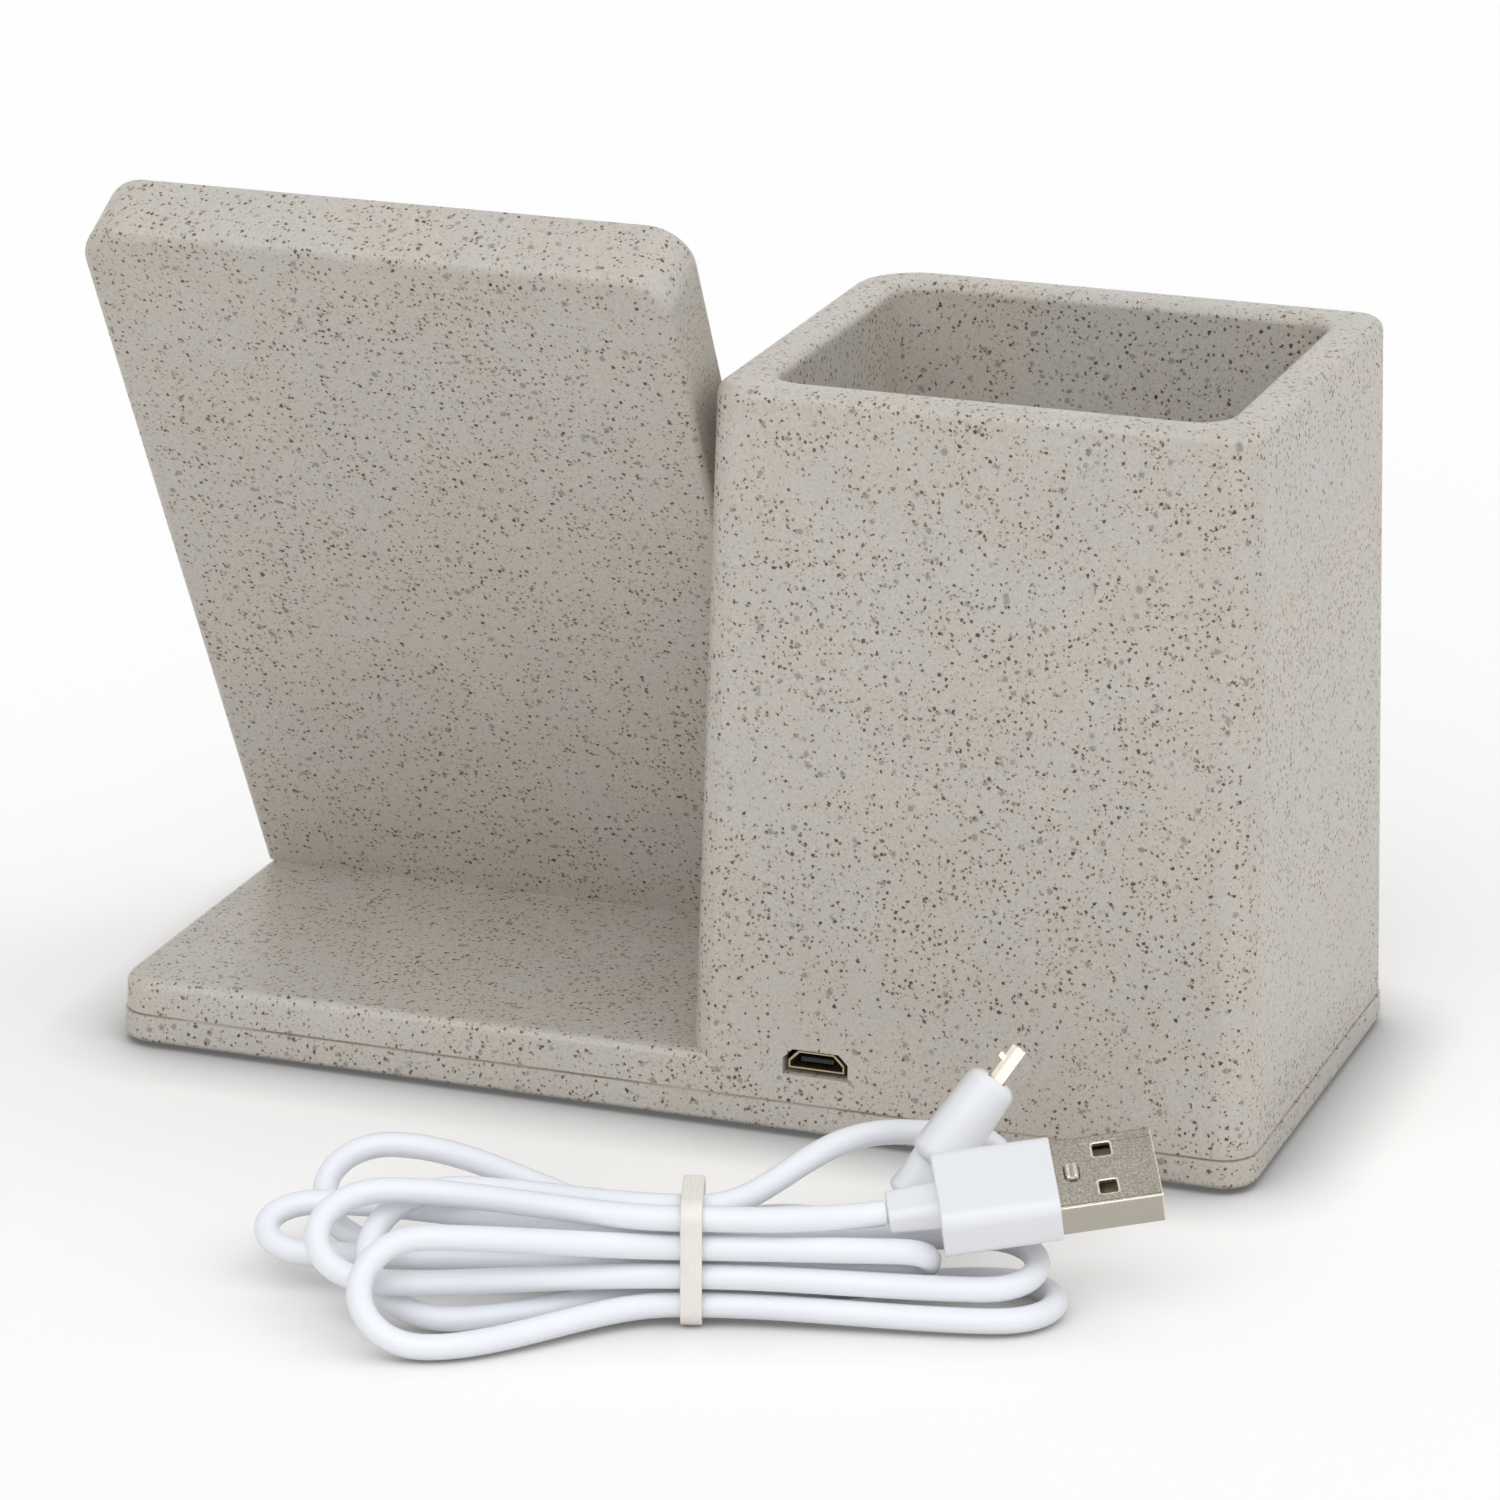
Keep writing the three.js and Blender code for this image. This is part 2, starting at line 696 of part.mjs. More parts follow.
// Flat coil: one wire that spirals out from the inner to the outer diameter
function coilWinding() {
  const stepsPerTurn = 24;
  const inner = (coilInnerDiameter + coilWireDiameter) / 2;
  const outer = (coilOuterDiameter - coilWireDiameter) / 2;
  const steps = coilTurns * stepsPerTurn;
  const points = Array.from({ length: steps + 1 }, (_, step) => {
    const radius = inner + (outer - inner) * step / steps;
    const angle = (step / stepsPerTurn) * 2 * Math.PI - Math.PI / 2;
    const x = standMiddle + radius * Math.cos(angle);
    const rise = coilRise + radius * Math.sin(angle);
    return new THREE.Vector3(x, rise, -coilMiddle);
  });
  return tubeAlong(points, coilWireDiameter, 4);
}

// Sheet behind the coil, slotted so that the leads can leave the winding
function coilShield() {
  const sheet = softBox(shieldSize, shieldSize, 0, shieldThickness, shieldCornerRadius, shieldThickness / 4)
    .translate(standMiddle, coilRise, -shieldFront);
  const slotHalf = (leadSpacing + leadDiameter) / 2 + fitGap;
  const slot = block(standMiddle - slotHalf, standMiddle + slotHalf,
    -overrun, coilRise - leadStartInside + leadDiameter, -shieldFront - overrun, overrun);
  return surface(without(solid(sheet), slot));
}

// Tube with round sections along a run of points
function tubeAlong(points, diameter, sides) {
  const tangents = points.map((point, i) => {
    const before = points[Math.max(i - 1, 0)];
    const after = points[Math.min(i + 1, points.length - 1)];
    return after.clone().sub(before).normalize();
  });
  const upright = Math.abs(tangents[0].z) > Math.SQRT1_2;
  const seed = upright ? new THREE.Vector3(1, 0, 0) : new THREE.Vector3(0, 0, 1);
  let side = seed.cross(tangents[0]).normalize();
  const rings = points.map((point, i) => {
    side = side.clone().addScaledVector(tangents[i], -side.dot(tangents[i])).normalize();
    const other = tangents[i].clone().cross(side);
    return Array.from({ length: sides }, (_, k) => {
      const angle = (k / sides) * 2 * Math.PI;
      return point.clone()
        .addScaledVector(side, Math.cos(angle) * diameter / 2)
        .addScaledVector(other, Math.sin(angle) * diameter / 2);
    });
  });
  return loft(rings);
}

// Tube through route points, rounded between them
function routedTube(route, diameter, sides, steps) {
  const curve = new THREE.CatmullRomCurve3(route, false, 'centripetal');
  const section = new THREE.Shape(Array.from({ length: sides }, (_, k) => {
    const angle = (k / sides) * 2 * Math.PI;
    return new THREE.Vector2(Math.cos(angle), Math.sin(angle)).multiplyScalar(diameter / 2);
  }));
  return new THREE.ExtrudeGeometry(section, { steps, extrudePath: curve, bevelEnabled: false });
}

// Coil lead down the slot in the shield, through the stand and its spigot and on to the board; the left one
// comes from inside the winding and the right one from outside it
function coilLead(side, start) {
  const x = standMiddle + side * leadSpacing / 2;
  const inStand = (rise, inward) => new THREE.Vector3(x, rise, -inward).applyMatrix4(stand.matrix);
  const leadLevel = coverTop + 3 * leadDiameter / 2;
  const inSlot = shieldFront - leadDiameter / 2;
  const exitX = boardLeft + boardHoleInset - side * leadSpacing / 2;
  const exitY = (boardNear + boardFar - side * leadSpacing) / 2;
  const shieldEdge = coilRise - shieldSize / 2;
  const route = [
    inStand(coilRise - start, inSlot),
    inStand(coilRise - start - leadDiameter, inSlot),
    inStand(shieldEdge - leadDiameter, inSlot),
    inStand(shieldEdge - shieldSize / 4, standHollowMiddle),
    inStand(panelFoot + panelLedge, standHollowMiddle),
    new THREE.Vector3(x, spigotY, deckHeight + wall),
    new THREE.Vector3(x, spigotY, deckUnderside),
    new THREE.Vector3(x + leadSpacing, spigotY - side * leadSpacing / 2, leadLevel),
    new THREE.Vector3(towerStart, exitY + leadSpacing, leadLevel),
    new THREE.Vector3(exitX, exitY, leadLevel + leadDiameter / 2),
    new THREE.Vector3(exitX, exitY, boardBottom - fitGap),
  ];
  return routedTube(route, leadDiameter, 8, 48);
}

function circuitBoard() {
  const plate = block(boardLeft, boardRight, boardNear, boardFar, boardBottom, boardTop);
  const holes = boardHoles.map(([, x, y]) =>
    rod(boreDiameter, x, y, boardBottom - overrun, boardTop + overrun));
  return surface(without(solid(plate), ...holes));
}

const socketNear = portHeight * slope + socketRecess;
const socketFar = socketNear + socketDepth;

function socketShell() {
  const outside = solid(portGeometry(socketWidth, socketHeight, portChamfer, socketNear, socketFar));
  const hollow = portGeometry(socketWidth - 2 * socketSheet, socketHeight - 2 * socketSheet, portChamfer,
    socketNear - overrun, socketFar - socketSheet);
  return surface(without(outside, hollow));
}

function socketTongue() {
  const gap = socketSheet + fitGap;
  const back = portGeometry(socketWidth - 2 * gap, socketHeight - 2 * gap, portChamfer - fitGap,
    socketFar - gap - (socketDepth - tongueLength - 2 * gap), socketFar - gap);
  const tongue = block(portX - tongueWidth / 2, portX + tongueWidth / 2,
    socketNear + gap, socketFar - gap - socketSheet,
    portHeight - tongueThickness / 2, portHeight + tongueThickness / 2);
  return surface(joined(solid(back), tongue));
}

// Parts soldered on the board
const boardSeat = boardTop + fitGap;
const chipXShare = 0.56;
const chipYShare = 0.62;
const driverYShare = 0.3;
const inductorXShare = 0.8;
const capacitorXShare = 0.18;
const capacitorYShare = 0.42;
const chipX = boardLeft + chipXShare * boardWidth;
const chipY = boardNear + chipYShare * boardDepth;
const driverY = boardNear + driverYShare * boardDepth;
const inductorX = boardLeft + inductorXShare * boardWidth;
const capacitorX = boardLeft + capacitorXShare * boardWidth;
const capacitorY = boardNear + capacitorYShare * boardDepth;

function boardPart(x, y, width, deep, height) {
  return block(x - width / 2, x + width / 2, y - deep / 2, y + deep / 2, boardSeat, boardSeat + height);
}

const caddy = new THREE.Group();
piece('upper_housing', 'stonePlastic', upperHousing(), caddy);
piece('bottom_cover', 'stonePlastic', bottomCover(), caddy);
for (const [place, x, y] of footPlaces) {
  piece(`rubber_foot_${place}`, 'rubber', foot(), caddy).position.set(x, y, 0);
  piece(`cover_screw_${place}`, 'steel', screw(coverScrewLength), caddy)
    .position.set(x, y, coverScrewSeat - fitGap);
}
piece('phone_stand_rear_shell', 'stonePlastic', standRearShell(), stand);
piece('charging_panel', 'stonePlastic', chargingPanel(), stand);
piece('charging_coil', 'copper', coilWinding(), stand);
piece('ferrite_shield', 'ferrite', coilShield(), stand);
caddy.add(stand);
for (const [place, x] of standBossPlaces) {
  piece(`stand_screw_${place}`, 'steel', screw(standScrewLength), caddy)
    .position.set(x, standBossY, deckUnderside - fitGap);
}
piece('coil_lead_inner', 'copper', coilLead(-1, leadStartInside), caddy);
piece('coil_lead_outer', 'copper', coilLead(1, leadStartOutside), caddy);
piece('circuit_board', 'board', circuitBoard(), caddy);
for (const [place, x, y] of boardHoles) {
  piece(`board_screw_${place}`, 'steel', screw(boardScrewLength), caddy)
    .position.set(x, y, boardBottom - fitGap);
}
piece('charging_socket_shell', 'nickel', socketShell(), caddy);
piece('charging_socket_tongue', 'chip', socketTongue(), caddy);
piece('controller_chip', 'chip',
  boardPart(chipX, chipY, chipSize, chipSize, chipThickness), caddy);
piece('coil_driver_chip', 'chip',
  boardPart(chipX, driverY, driverWidth, driverDepth, chipThickness), caddy);
piece('power_inductor', 'ferrite',
  softBox(inductorSize, inductorSize, 0, inductorHeight, inductorCornerRadius, inductorCornerRadius / 4)
    .translate(inductorX, chipY, boardSeat), caddy);
for (const number of [1, 2, 3]) {
  const y = capacitorY + (number - 2) * capacitorPitch;
  piece(`resonance_capacitor_${number}`, 'ceramic',
    boardPart(capacitorX, y, capacitorWidth, capacitorDepth, capacitorHeight), caddy);
}

// The hank's own frame: X along its strands, Y away from the near side and Z up, with zero at its waist
const cable = new THREE.Group();
const hank = new THREE.Group();
hank.position.set(hankX, hankY, 0);
hank.rotation.z = hankTurn;
cable.add(hank);

// Places of the strands at the waist, in three columns and four rows
function strandPlace(column, row) {
  const lowest = bandThickness + fitGap + cableDiameter / 2;
  return new THREE.Vector2((column - 1) * strandPitch, lowest + row * strandPitch);
}

// Ends of the hank in the order that the cable runs: the strand's column and row before and after the
// turn, the side of the waist, how far the end reaches, its radius, its lean from upright in degrees, the
// middle of its opening as an offset from the waist's axis and a height, how far its first strand is lifted
// on the way, and how much longer than round its nose is
const hankEnds = [
  [0, 3, 0, 1, -1, 45, 6.4, 53, -2.4, 10.1, 0, 1.3],
  [0, 1, 1, 2, 1, 41.4, 5.6, 79, 1.4, 6.2, 0, 1.1],
  [1, 2, 1, 1, -1, 52.5, 4, 60, 10, 5.8, 0, 1.6],
  [1, 1, 0, 2, 1, 28.5, 2.8, -45, -1, 7.45, 0, 1],
  [0, 2, 0, 0, -1, 39, 6.5, 27, -13, 7.5, 0, 1.2],
  [0, 0, 1, 0, 1, 43.5, 6.5, -89, 0.6, 1.75, 0, 1.1],
  [1, 0, 1, 3, -1, 39, 9.2, 55, 0, 7, 0, 1.1],
  [1, 3, 2, 0, 1, 38, 5.4, 5, 26.6, 7.1, 3.5, 1],
  [2, 0, 2, 2, -1, 46, 6.2, 30, 17.6, 7.2, 0, 1.3],
];

// Half a loop from one strand at the waist to the next, round one end of the hank
function hankHalfLoop(end) {
  const [column, row, nextColumn, nextRow, side, reach, radius, lean, offset, height, lift, nose] = end;
  const stepsPerRun = 3;
  const stepsRoundEnd = 6;
  const from = strandPlace(column, row);
  const to = strandPlace(nextColumn, nextRow);
  const waistMiddle = from.clone().add(to).divideScalar(2);
  const waistHalf = from.clone().sub(to).divideScalar(2);
  const angle = THREE.MathUtils.degToRad(lean);
  const endHalf = new THREE.Vector2(Math.sin(angle), Math.cos(angle)).multiplyScalar(radius);
  if (waistHalf.dot(endHalf) < 0) {
    endHalf.negate();
  }
  const endMiddle = new THREE.Vector2(offset, height);
  const run = reach - nose * radius;
  const straight = bandWidth / 2 + fitGap;
  const onRun = (share, sign) => {
    const drawn = share * share * (3 - 2 * share);
    const middle = waistMiddle.clone().lerp(endMiddle, drawn);
    const half = waistHalf.clone().lerp(endHalf, drawn);
    const place = middle.addScaledVector(half, sign);
    const raised = sign > 0 ? lift * Math.sin(Math.PI * share) ** 2 : 0;
    const along = straight + (run - straight) * share;
    return new THREE.Vector3(side * along, place.x, place.y + raised);
  };
  const roundEnd = (share) => {
    const turn = Math.PI * share;
    const place = endMiddle.clone().addScaledVector(endHalf, Math.cos(turn));
    return new THREE.Vector3(side * (run + nose * radius * Math.sin(turn)), place.x, place.y);
  };
  const count = (steps) => Array.from({ length: steps }, (_, step) => step / steps);
  return [
    ...count(stepsPerRun).map((share) => onRun(share, 1)),
    ...count(stepsRoundEnd).map(roundEnd),
    ...count(stepsPerRun).map((share) => onRun(1 - share, -1)),
    onRun(0, -1),
  ];
}

// Least gap between parts of the tube that are not neighbours along it
function leastGap(points, diameter) {
  const samplesPerStep = 6;
  const samples = [];
  let travelled = 0;
  for (let i = 0; i < points.length - 1; i++) {
    const step = points[i].distanceTo(points[i + 1]);
    for (let k = 0; k < samplesPerStep; k++) {
      const share = k / samplesPerStep;
      const at = points[i].clone().lerp(points[i + 1], share);
      samples.push({ at, travelled: travelled + share * step });
    }
    travelled += step;
  }
  let least = Infinity;
  for (let i = 0; i < samples.length; i++) {
    for (let k = i + 1; k < samples.length; k++) {
      if (samples[k].travelled - samples[i].travelled > 3 * diameter) {
        least = Math.min(least, samples[i].at.distanceTo(samples[k].at) - diameter);
      }
    }
  }
  return { least, travelled };
}

// Route points of the free stretches of the cable, from the hank to the plugs, in the hank's frame
const usbRoute = [
  [6.3, -3.68, 13.49],
  [9, -3.68, 13.49],
  [12.5, -3.15, 13.45],
  [16, -2.1, 13.2],
  [19.6, -0.75, 12.95],
  [22.9, -0.21, 13.2],
];
const microRoute = [
  [6.2, 5.1, 9.9],
  [9, 6, 9.85],
  [12, 7.3, 9.45],
  [15, 8.6, 8.6],
  [18, 9.9, 7.75],
  [21, 11, 7.25],
  [23.6, 11.8, 7.7],
  [25.43, 12.37, 9.52],
];
const microExit = new THREE.Vector3(...microRoute[1]).sub(new THREE.Vector3(...microRoute[0])).normalize();

const firstStrand = strandPlace(hankEnds[0][0], hankEnds[0][1]);
const lastStrand = strandPlace(hankEnds.at(-1)[2], hankEnds.at(-1)[3]);
const hankPoints = [
  new THREE.Vector3(tailLength, firstStrand.x, firstStrand.y),
  new THREE.Vector3(tailLength - cableDiameter, firstStrand.x, firstStrand.y),
  ...hankEnds.flatMap(hankHalfLoop),
  new THREE.Vector3(bandWidth / 2 + fitGap, lastStrand.x, lastStrand.y),
  new THREE.Vector3(...microRoute[0]).addScaledVector(microExit, -fitGap - cableDiameter),
  new THREE.Vector3(...microRoute[0]).addScaledVector(microExit, -fitGap),
];
const hankMeasure = leastGap(hankPoints, cableDiameter);
const { least, travelled } = hankMeasure;
console.log(`cable_hank: least gap to itself ${least.toFixed(2)} mm over ${travelled.toFixed(0)} mm`);
piece('cable_hank', 'whiteCable', tubeAlong(hankPoints, cableDiameter, 6), hank);

// Elastic band round the waist
function cableBand() {
  const first = strandPlace(0, 0);
  const last = strandPlace(2, 3);
  const loop = (gap, reach) => {
    const section = {
      left: first.x - cableDiameter / 2 - gap,
      right: last.x + cableDiameter / 2 + gap,
      near: first.y - cableDiameter / 2 - gap,
      far: last.y + cableDiameter / 2 + gap,
      radius: cableDiameter / 2 + gap,
    };
    return loft([
      roundedRing({ ...section, z: -bandWidth / 2 - reach }),
      roundedRing({ ...section, z: bandWidth / 2 + reach }),
    ]);
  };
  const outline = without(solid(loop(fitGap + bandThickness, 0)), loop(fitGap, overrun));
  return surface(outline).applyMatrix4(new THREE.Matrix4().makeBasis(
    new THREE.Vector3(0, 1, 0), new THREE.Vector3(0, 0, 1), new THREE.Vector3(1, 0, 0)));
}

piece('cable_band', 'band', cableBand(), hank);

// A plug's own frame: Z along it from the cable to its tip, X across its width and Y out of its upper face
function plugGroup(start, tip, upward) {
  const axis = tip.clone().sub(start).normalize();
  const across = upward.clone().cross(axis).normalize();
  const group = new THREE.Group();
  group.matrix.makeBasis(across, axis.clone().cross(across), axis).setPosition(start);
  group.matrix.decompose(group.position, group.quaternion, group.scale);
  hank.add(group);
  return group;
}

// Plug for the charger, rolled towards the near side on top of the hank
const usbStart = new THREE.Vector3(23.2, -0.19, 13.24);
const usbTip = new THREE.Vector3(55.31, 2.36, 17.77);
const usbUpward = new THREE.Vector3(-0.1, -0.373, 0.922);
const usbPlug = plugGroup(usbStart, usbTip, usbUpward);
const usbBodyTop = usbNeckLength + usbBodyLength;

const usbShellSection = {
  left: -usbShellWidth / 2,
  right: usbShellWidth / 2,
  near: -usbShellHeight / 2,
  far: usbShellHeight / 2,
  radius: usbShellRadius,
};

// Run of the shell's outline along the plug, drawn in by an inset
function usbTube(inset, low, high) {
  return loft([
    roundedRing({ ...offsetSection(usbShellSection, inset), z: low }),
    roundedRing({ ...offsetSection(usbShellSection, inset), z: high }),
  ]);
}

function usbBody() {
  const neck = softBox(usbNeckWidth, usbNeckHeight, 0, usbNeckLength + usbNeckRadius, usbNeckRadius,
    usbBodyEdge, -usbNeckTaper);
  const body = softBox(usbBodyWidth, usbBodyHeight, usbNeckLength, usbBodyTop, usbBodyRadius,
    usbBodyEdge);
  const seat = usbTube(-fitGap, usbBodyTop - usbShellSeat - fitGap, usbBodyTop + overrun);
  return surface(without(joined(solid(neck), body), seat));
}

function usbShell() {
  const bottom = usbBodyTop - usbShellSeat;
  const top = usbBodyTop + usbShellLength;
  const holeMiddle = top - usbHoleFromMouth;
  const holes = [-usbHolePitch / 2, usbHolePitch / 2].map((x) =>
    block(x - usbHoleSize / 2, x + usbHoleSize / 2, -usbShellHeight, usbShellHeight,
      holeMiddle - usbHoleSize / 2, holeMiddle + usbHoleSize / 2));
  const bore = usbTube(usbSheet, bottom - overrun, top + overrun);
  const open = without(solid(usbTube(0, bottom, top)), bore, ...holes);
  const dimple = softBox(usbDimpleWidth, usbDimpleLength, -usbSheet / 2, usbDimpleProud,
    usbDimpleLength / 2, usbDimpleProud / 2)
    .rotateX(-Math.PI / 2)
    .translate(0, usbShellHeight / 2, usbBodyTop + usbDimpleFromBody);
  return surface(joined(open, dimple));
}

function usbTongue() {
  const clear = usbSheet + fitGap;
  const bottom = usbBodyTop - usbShellSeat;
  const low = -usbShellHeight / 2 + clear;
  const left = -usbShellWidth / 2 + clear;
  const tongue = block(left, -left, low, low + usbTongueHeight, bottom, usbBodyTop + usbTongueLength);
  const root = block(left, -left, low, -low, bottom, usbBodyTop);
  return surface(joined(solid(root), tongue));
}

piece('usb_a_plug_body', 'whitePlastic', usbBody(), usbPlug);
piece('usb_a_plug_shell', 'nickel', usbShell(), usbPlug);
piece('usb_a_plug_tongue', 'whitePlastic', usbTongue(), usbPlug);

// Plug for the caddy, standing up behind the other plug on its stiff cable
const microStart = new THREE.Vector3(25.6, 12.45, 9.75);
const microTip = new THREE.Vector3(38.6, 18.6, 27.1);
const microUpward = new THREE.Vector3(-0.82, 0.17, 0.55);
const microPlug = plugGroup(microStart, microTip, microUpward);
const microBodyTop = microNeckLength + microBodyLength;

function microBody() {
  const neck = softBox(microNeckWidth, microNeckHeight, 0, microNeckLength + microBodyRadius,
    microNeckHeight / 3, microNeckHeight / 8);
  const body = softBox(microBodyWidth, microBodyHeight, microNeckLength, microBodyTop, microBodyRadius,
    microBodyRadius / 2, microBodyTaper);
  const seat = block(-microTipWidth / 2 - fitGap, microTipWidth / 2 + fitGap,
    -microTipHeight / 2 - fitGap, microTipHeight / 2 + fitGap,
    microBodyTop - microTipSeat - fitGap, microBodyTop + overrun);
  return surface(without(joined(solid(neck), body), seat));
}

function microShell() {
  const outline = (inset) => {
    const half = microTipWidth / 2 - inset;
    const low = -microTipHeight / 2 + inset;
    const points = [
      [-half, low],
      [half, low],
      [half, -low - microTipChamfer],
      [half - microTipChamfer, -low],
      [microTipChamfer - half, -low],
      [-half, -low - microTipChamfer],
    ];
    return new THREE.Shape(points.map(([x, y]) => new THREE.Vector2(x, y)));
  };
  const bottom = microBodyTop - microTipSeat;
  const deep = microTipSeat + microTipLength;
  const pushed = (inset, far) =>
    new THREE.ExtrudeGeometry(outline(inset), { depth: far, bevelEnabled: false });
  const tube = pushed(0, deep).translate(0, 0, bottom);
  const bore = pushed(microTipSheet, deep + overrun).translate(0, 0, bottom + microTipSheet);
  const latchPitch = microTipWidth / 2 - microLatchSize;
  const latchBottom = microBodyTop + microTipLength / 2;
  const latches = [-latchPitch, latchPitch].map((x) =>
    block(x - microLatchSize / 2, x + microLatchSize / 2, microTipHeight / 2 - microTipSheet,
      microTipHeight / 2 + microLatchSize / 2, latchBottom, latchBottom + microLatchSize));
  return surface(joined(without(solid(tube), bore), ...latches));
}

piece('micro_usb_plug_body', 'whitePlastic', microBody(), microPlug);
piece('micro_usb_plug_shell', 'nickel', microShell(), microPlug);

function freeStretch(route) {
  return routedTube(route.map((point) => new THREE.Vector3(...point)), cableDiameter, 8, 12);
}

piece('cable_to_usb_a_plug', 'whiteCable', freeStretch(usbRoute), hank);
piece('cable_to_micro_usb_plug', 'whiteCable', freeStretch(microRoute), hank);

// The whole model, moved so that the origin lies under the middle of the caddy
const model = new THREE.Group();
model.add(caddy, cable);
caddy.updateMatrixWorld(true);
const box = new THREE.Box3().setFromObject(caddy, true);
model.position.set(-(box.min.x + box.max.x) / 2, -(box.min.y + box.max.y) / 2, -box.min.z);

export default model;
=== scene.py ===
"""Looks of the desk caddy: pen cup, wireless charging phone stand, and the cable tied in a hank."""

import math
from collections import namedtuple

import bmesh
import bpy
import numpy as np
from mathutils import Matrix, Vector


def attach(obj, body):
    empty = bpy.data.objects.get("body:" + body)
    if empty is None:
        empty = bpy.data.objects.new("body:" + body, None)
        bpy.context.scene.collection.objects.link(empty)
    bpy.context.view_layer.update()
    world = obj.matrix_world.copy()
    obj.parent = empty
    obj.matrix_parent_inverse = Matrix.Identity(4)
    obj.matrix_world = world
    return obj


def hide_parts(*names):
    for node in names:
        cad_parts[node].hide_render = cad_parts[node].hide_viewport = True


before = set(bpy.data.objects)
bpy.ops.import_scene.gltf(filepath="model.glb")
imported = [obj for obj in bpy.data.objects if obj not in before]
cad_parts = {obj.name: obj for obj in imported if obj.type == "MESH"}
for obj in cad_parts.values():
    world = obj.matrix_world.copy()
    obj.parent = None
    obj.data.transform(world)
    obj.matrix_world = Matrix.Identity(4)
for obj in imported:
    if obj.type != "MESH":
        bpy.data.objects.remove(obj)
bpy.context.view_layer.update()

# Shapes are drawn in millimetres, from a corner of the base, and Blender's lengths are metres
MM = 0.001
SHIFT = Vector((-78.0, -32.0358, 0.0))


def row(point):
    """A point of the drawing as a point of the shared frame, in metres."""
    return (Vector(point) + SHIFT) * MM


def add_object(name, data):
    piece = bpy.data.objects.new(name, data)
    bpy.context.scene.collection.objects.link(piece)
    return piece


# Camera, fitted to the photograph
YAW = math.radians(19.687)
PITCH = math.radians(18.473)
ROLL = math.radians(0.26)
CAMERA_TARGET = (80.0, 37.0, 45.0)
CAMERA_DISTANCE = 837.877
CAMERA_RIGHT = -3.482
CAMERA_UP = -5.8
FOCAL_PIXELS = 6339.676
FRAME_PIXELS = 1500
SENSOR = 36.0
CLIP_START = 0.05
CLIP_END = 20.0


def add_camera():
    back = Vector((math.sin(YAW) * math.cos(PITCH), -math.cos(YAW) * math.cos(PITCH), math.sin(PITCH)))
    level = Vector((math.cos(YAW), math.sin(YAW), 0.0))
    upright = back.cross(level)
    right = level * math.cos(ROLL) + upright * math.sin(ROLL)
    up = upright * math.cos(ROLL) - level * math.sin(ROLL)
    place = Vector(CAMERA_TARGET) + back * CAMERA_DISTANCE + right * CAMERA_RIGHT + up * CAMERA_UP
    data = bpy.data.cameras.new("camera")
    data.sensor_width = SENSOR
    data.lens = FOCAL_PIXELS / FRAME_PIXELS * SENSOR
    data.clip_start = CLIP_START
    data.clip_end = CLIP_END
    camera = add_object("camera", data)
    camera.matrix_world = Matrix.Translation(row(place)) @ Matrix((right, up, back)).transposed().to_4x4()
    bpy.context.scene.camera = camera


add_camera()

# Cable. Its hank has its own frame: X along the strands, Y away from the near side, zero at the waist
CABLE_DIAMETER = 3.1
STRAND_PITCH = 3.68
HANK_X = 103.0
HANK_Y = -57.0
HANK_TURN = math.radians(18)
BAND_WIDTH = 2.6
BAND_THICKNESS = 0.6
FIT_GAP = 0.3
TAIL_LENGTH = 6.0
HANK_FRAME = Matrix.Translation((HANK_X, HANK_Y, 0.0)) @ Matrix.Rotation(HANK_TURN, 4, "Z")
RUN_STEPS = 8
END_STEPS = 16
CURVE_STEPS = 8
CABLE_STEP = 1.2
CABLE_SMOOTHING = 2
TUBE_ROUNDNESS = 6

# One end of the hank: the strand that comes to it and the one that leaves it, each by its column and level in
# the bundle, the side of the waist, how far the turn reaches, its radius, how far its plane leans in degrees,
# where its middle lies across and up, how high the run out to it is lifted, and how pointed the turn is
HankEnd = namedtuple(
    "HankEnd", "column level next_column next_level side reach radius lean offset height lift nose")
HANK_ENDS = [HankEnd(*values) for values in (
    (0, 3, 0, 1, -1, 45, 6.4, 53, -2.4, 10.1, 0, 1.3),
    (0, 1, 1, 2, 1, 41.4, 5.6, 79, 1.4, 6.2, 0, 1.1),
    (1, 2, 1, 1, -1, 52.5, 4, 60, 10, 5.8, 0, 1.6),
    (1, 1, 0, 2, 1, 28.5, 2.8, -45, -1, 7.45, 0, 1),
    (0, 2, 0, 0, -1, 39, 6.5, 27, -13, 7.5, 0, 1.2),
    (0, 0, 1, 0, 1, 43.5, 6.5, -89, 0.6, 1.75, 0, 1.1),
    (1, 0, 1, 3, -1, 39, 9.2, 55, 0, 7, 0, 1.1),
    (1, 3, 2, 0, 1, 38, 5.4, 5, 26.6, 7.1, 3.5, 1),
    (2, 0, 2, 2, -1, 46, 6.2, 30, 17.6, 7.2, 0, 1.3),
)]
USB_ROUTE = [
    (6.3, -3.68, 13.49),
    (9, -3.68, 13.49),
    (12.5, -3.15, 13.45),
    (16, -2.1, 13.2),
    (19.6, -0.75, 12.95),
    (22.9, -0.21, 13.2),
]
MICRO_ROUTE = [
    (6.2, 5.1, 9.9),
    (9, 6, 9.85),
    (12, 7.3, 9.45),
    (15, 8.6, 8.6),
    (18, 9.9, 7.75),
    (21, 11, 7.25),
    (23.6, 11.8, 7.7),
    (25.43, 12.37, 9.52),
]


def strand_place(column, level):
    lowest = BAND_THICKNESS + FIT_GAP + CABLE_DIAMETER / 2
    return Vector(((column - 1) * STRAND_PITCH, lowest + level * STRAND_PITCH))


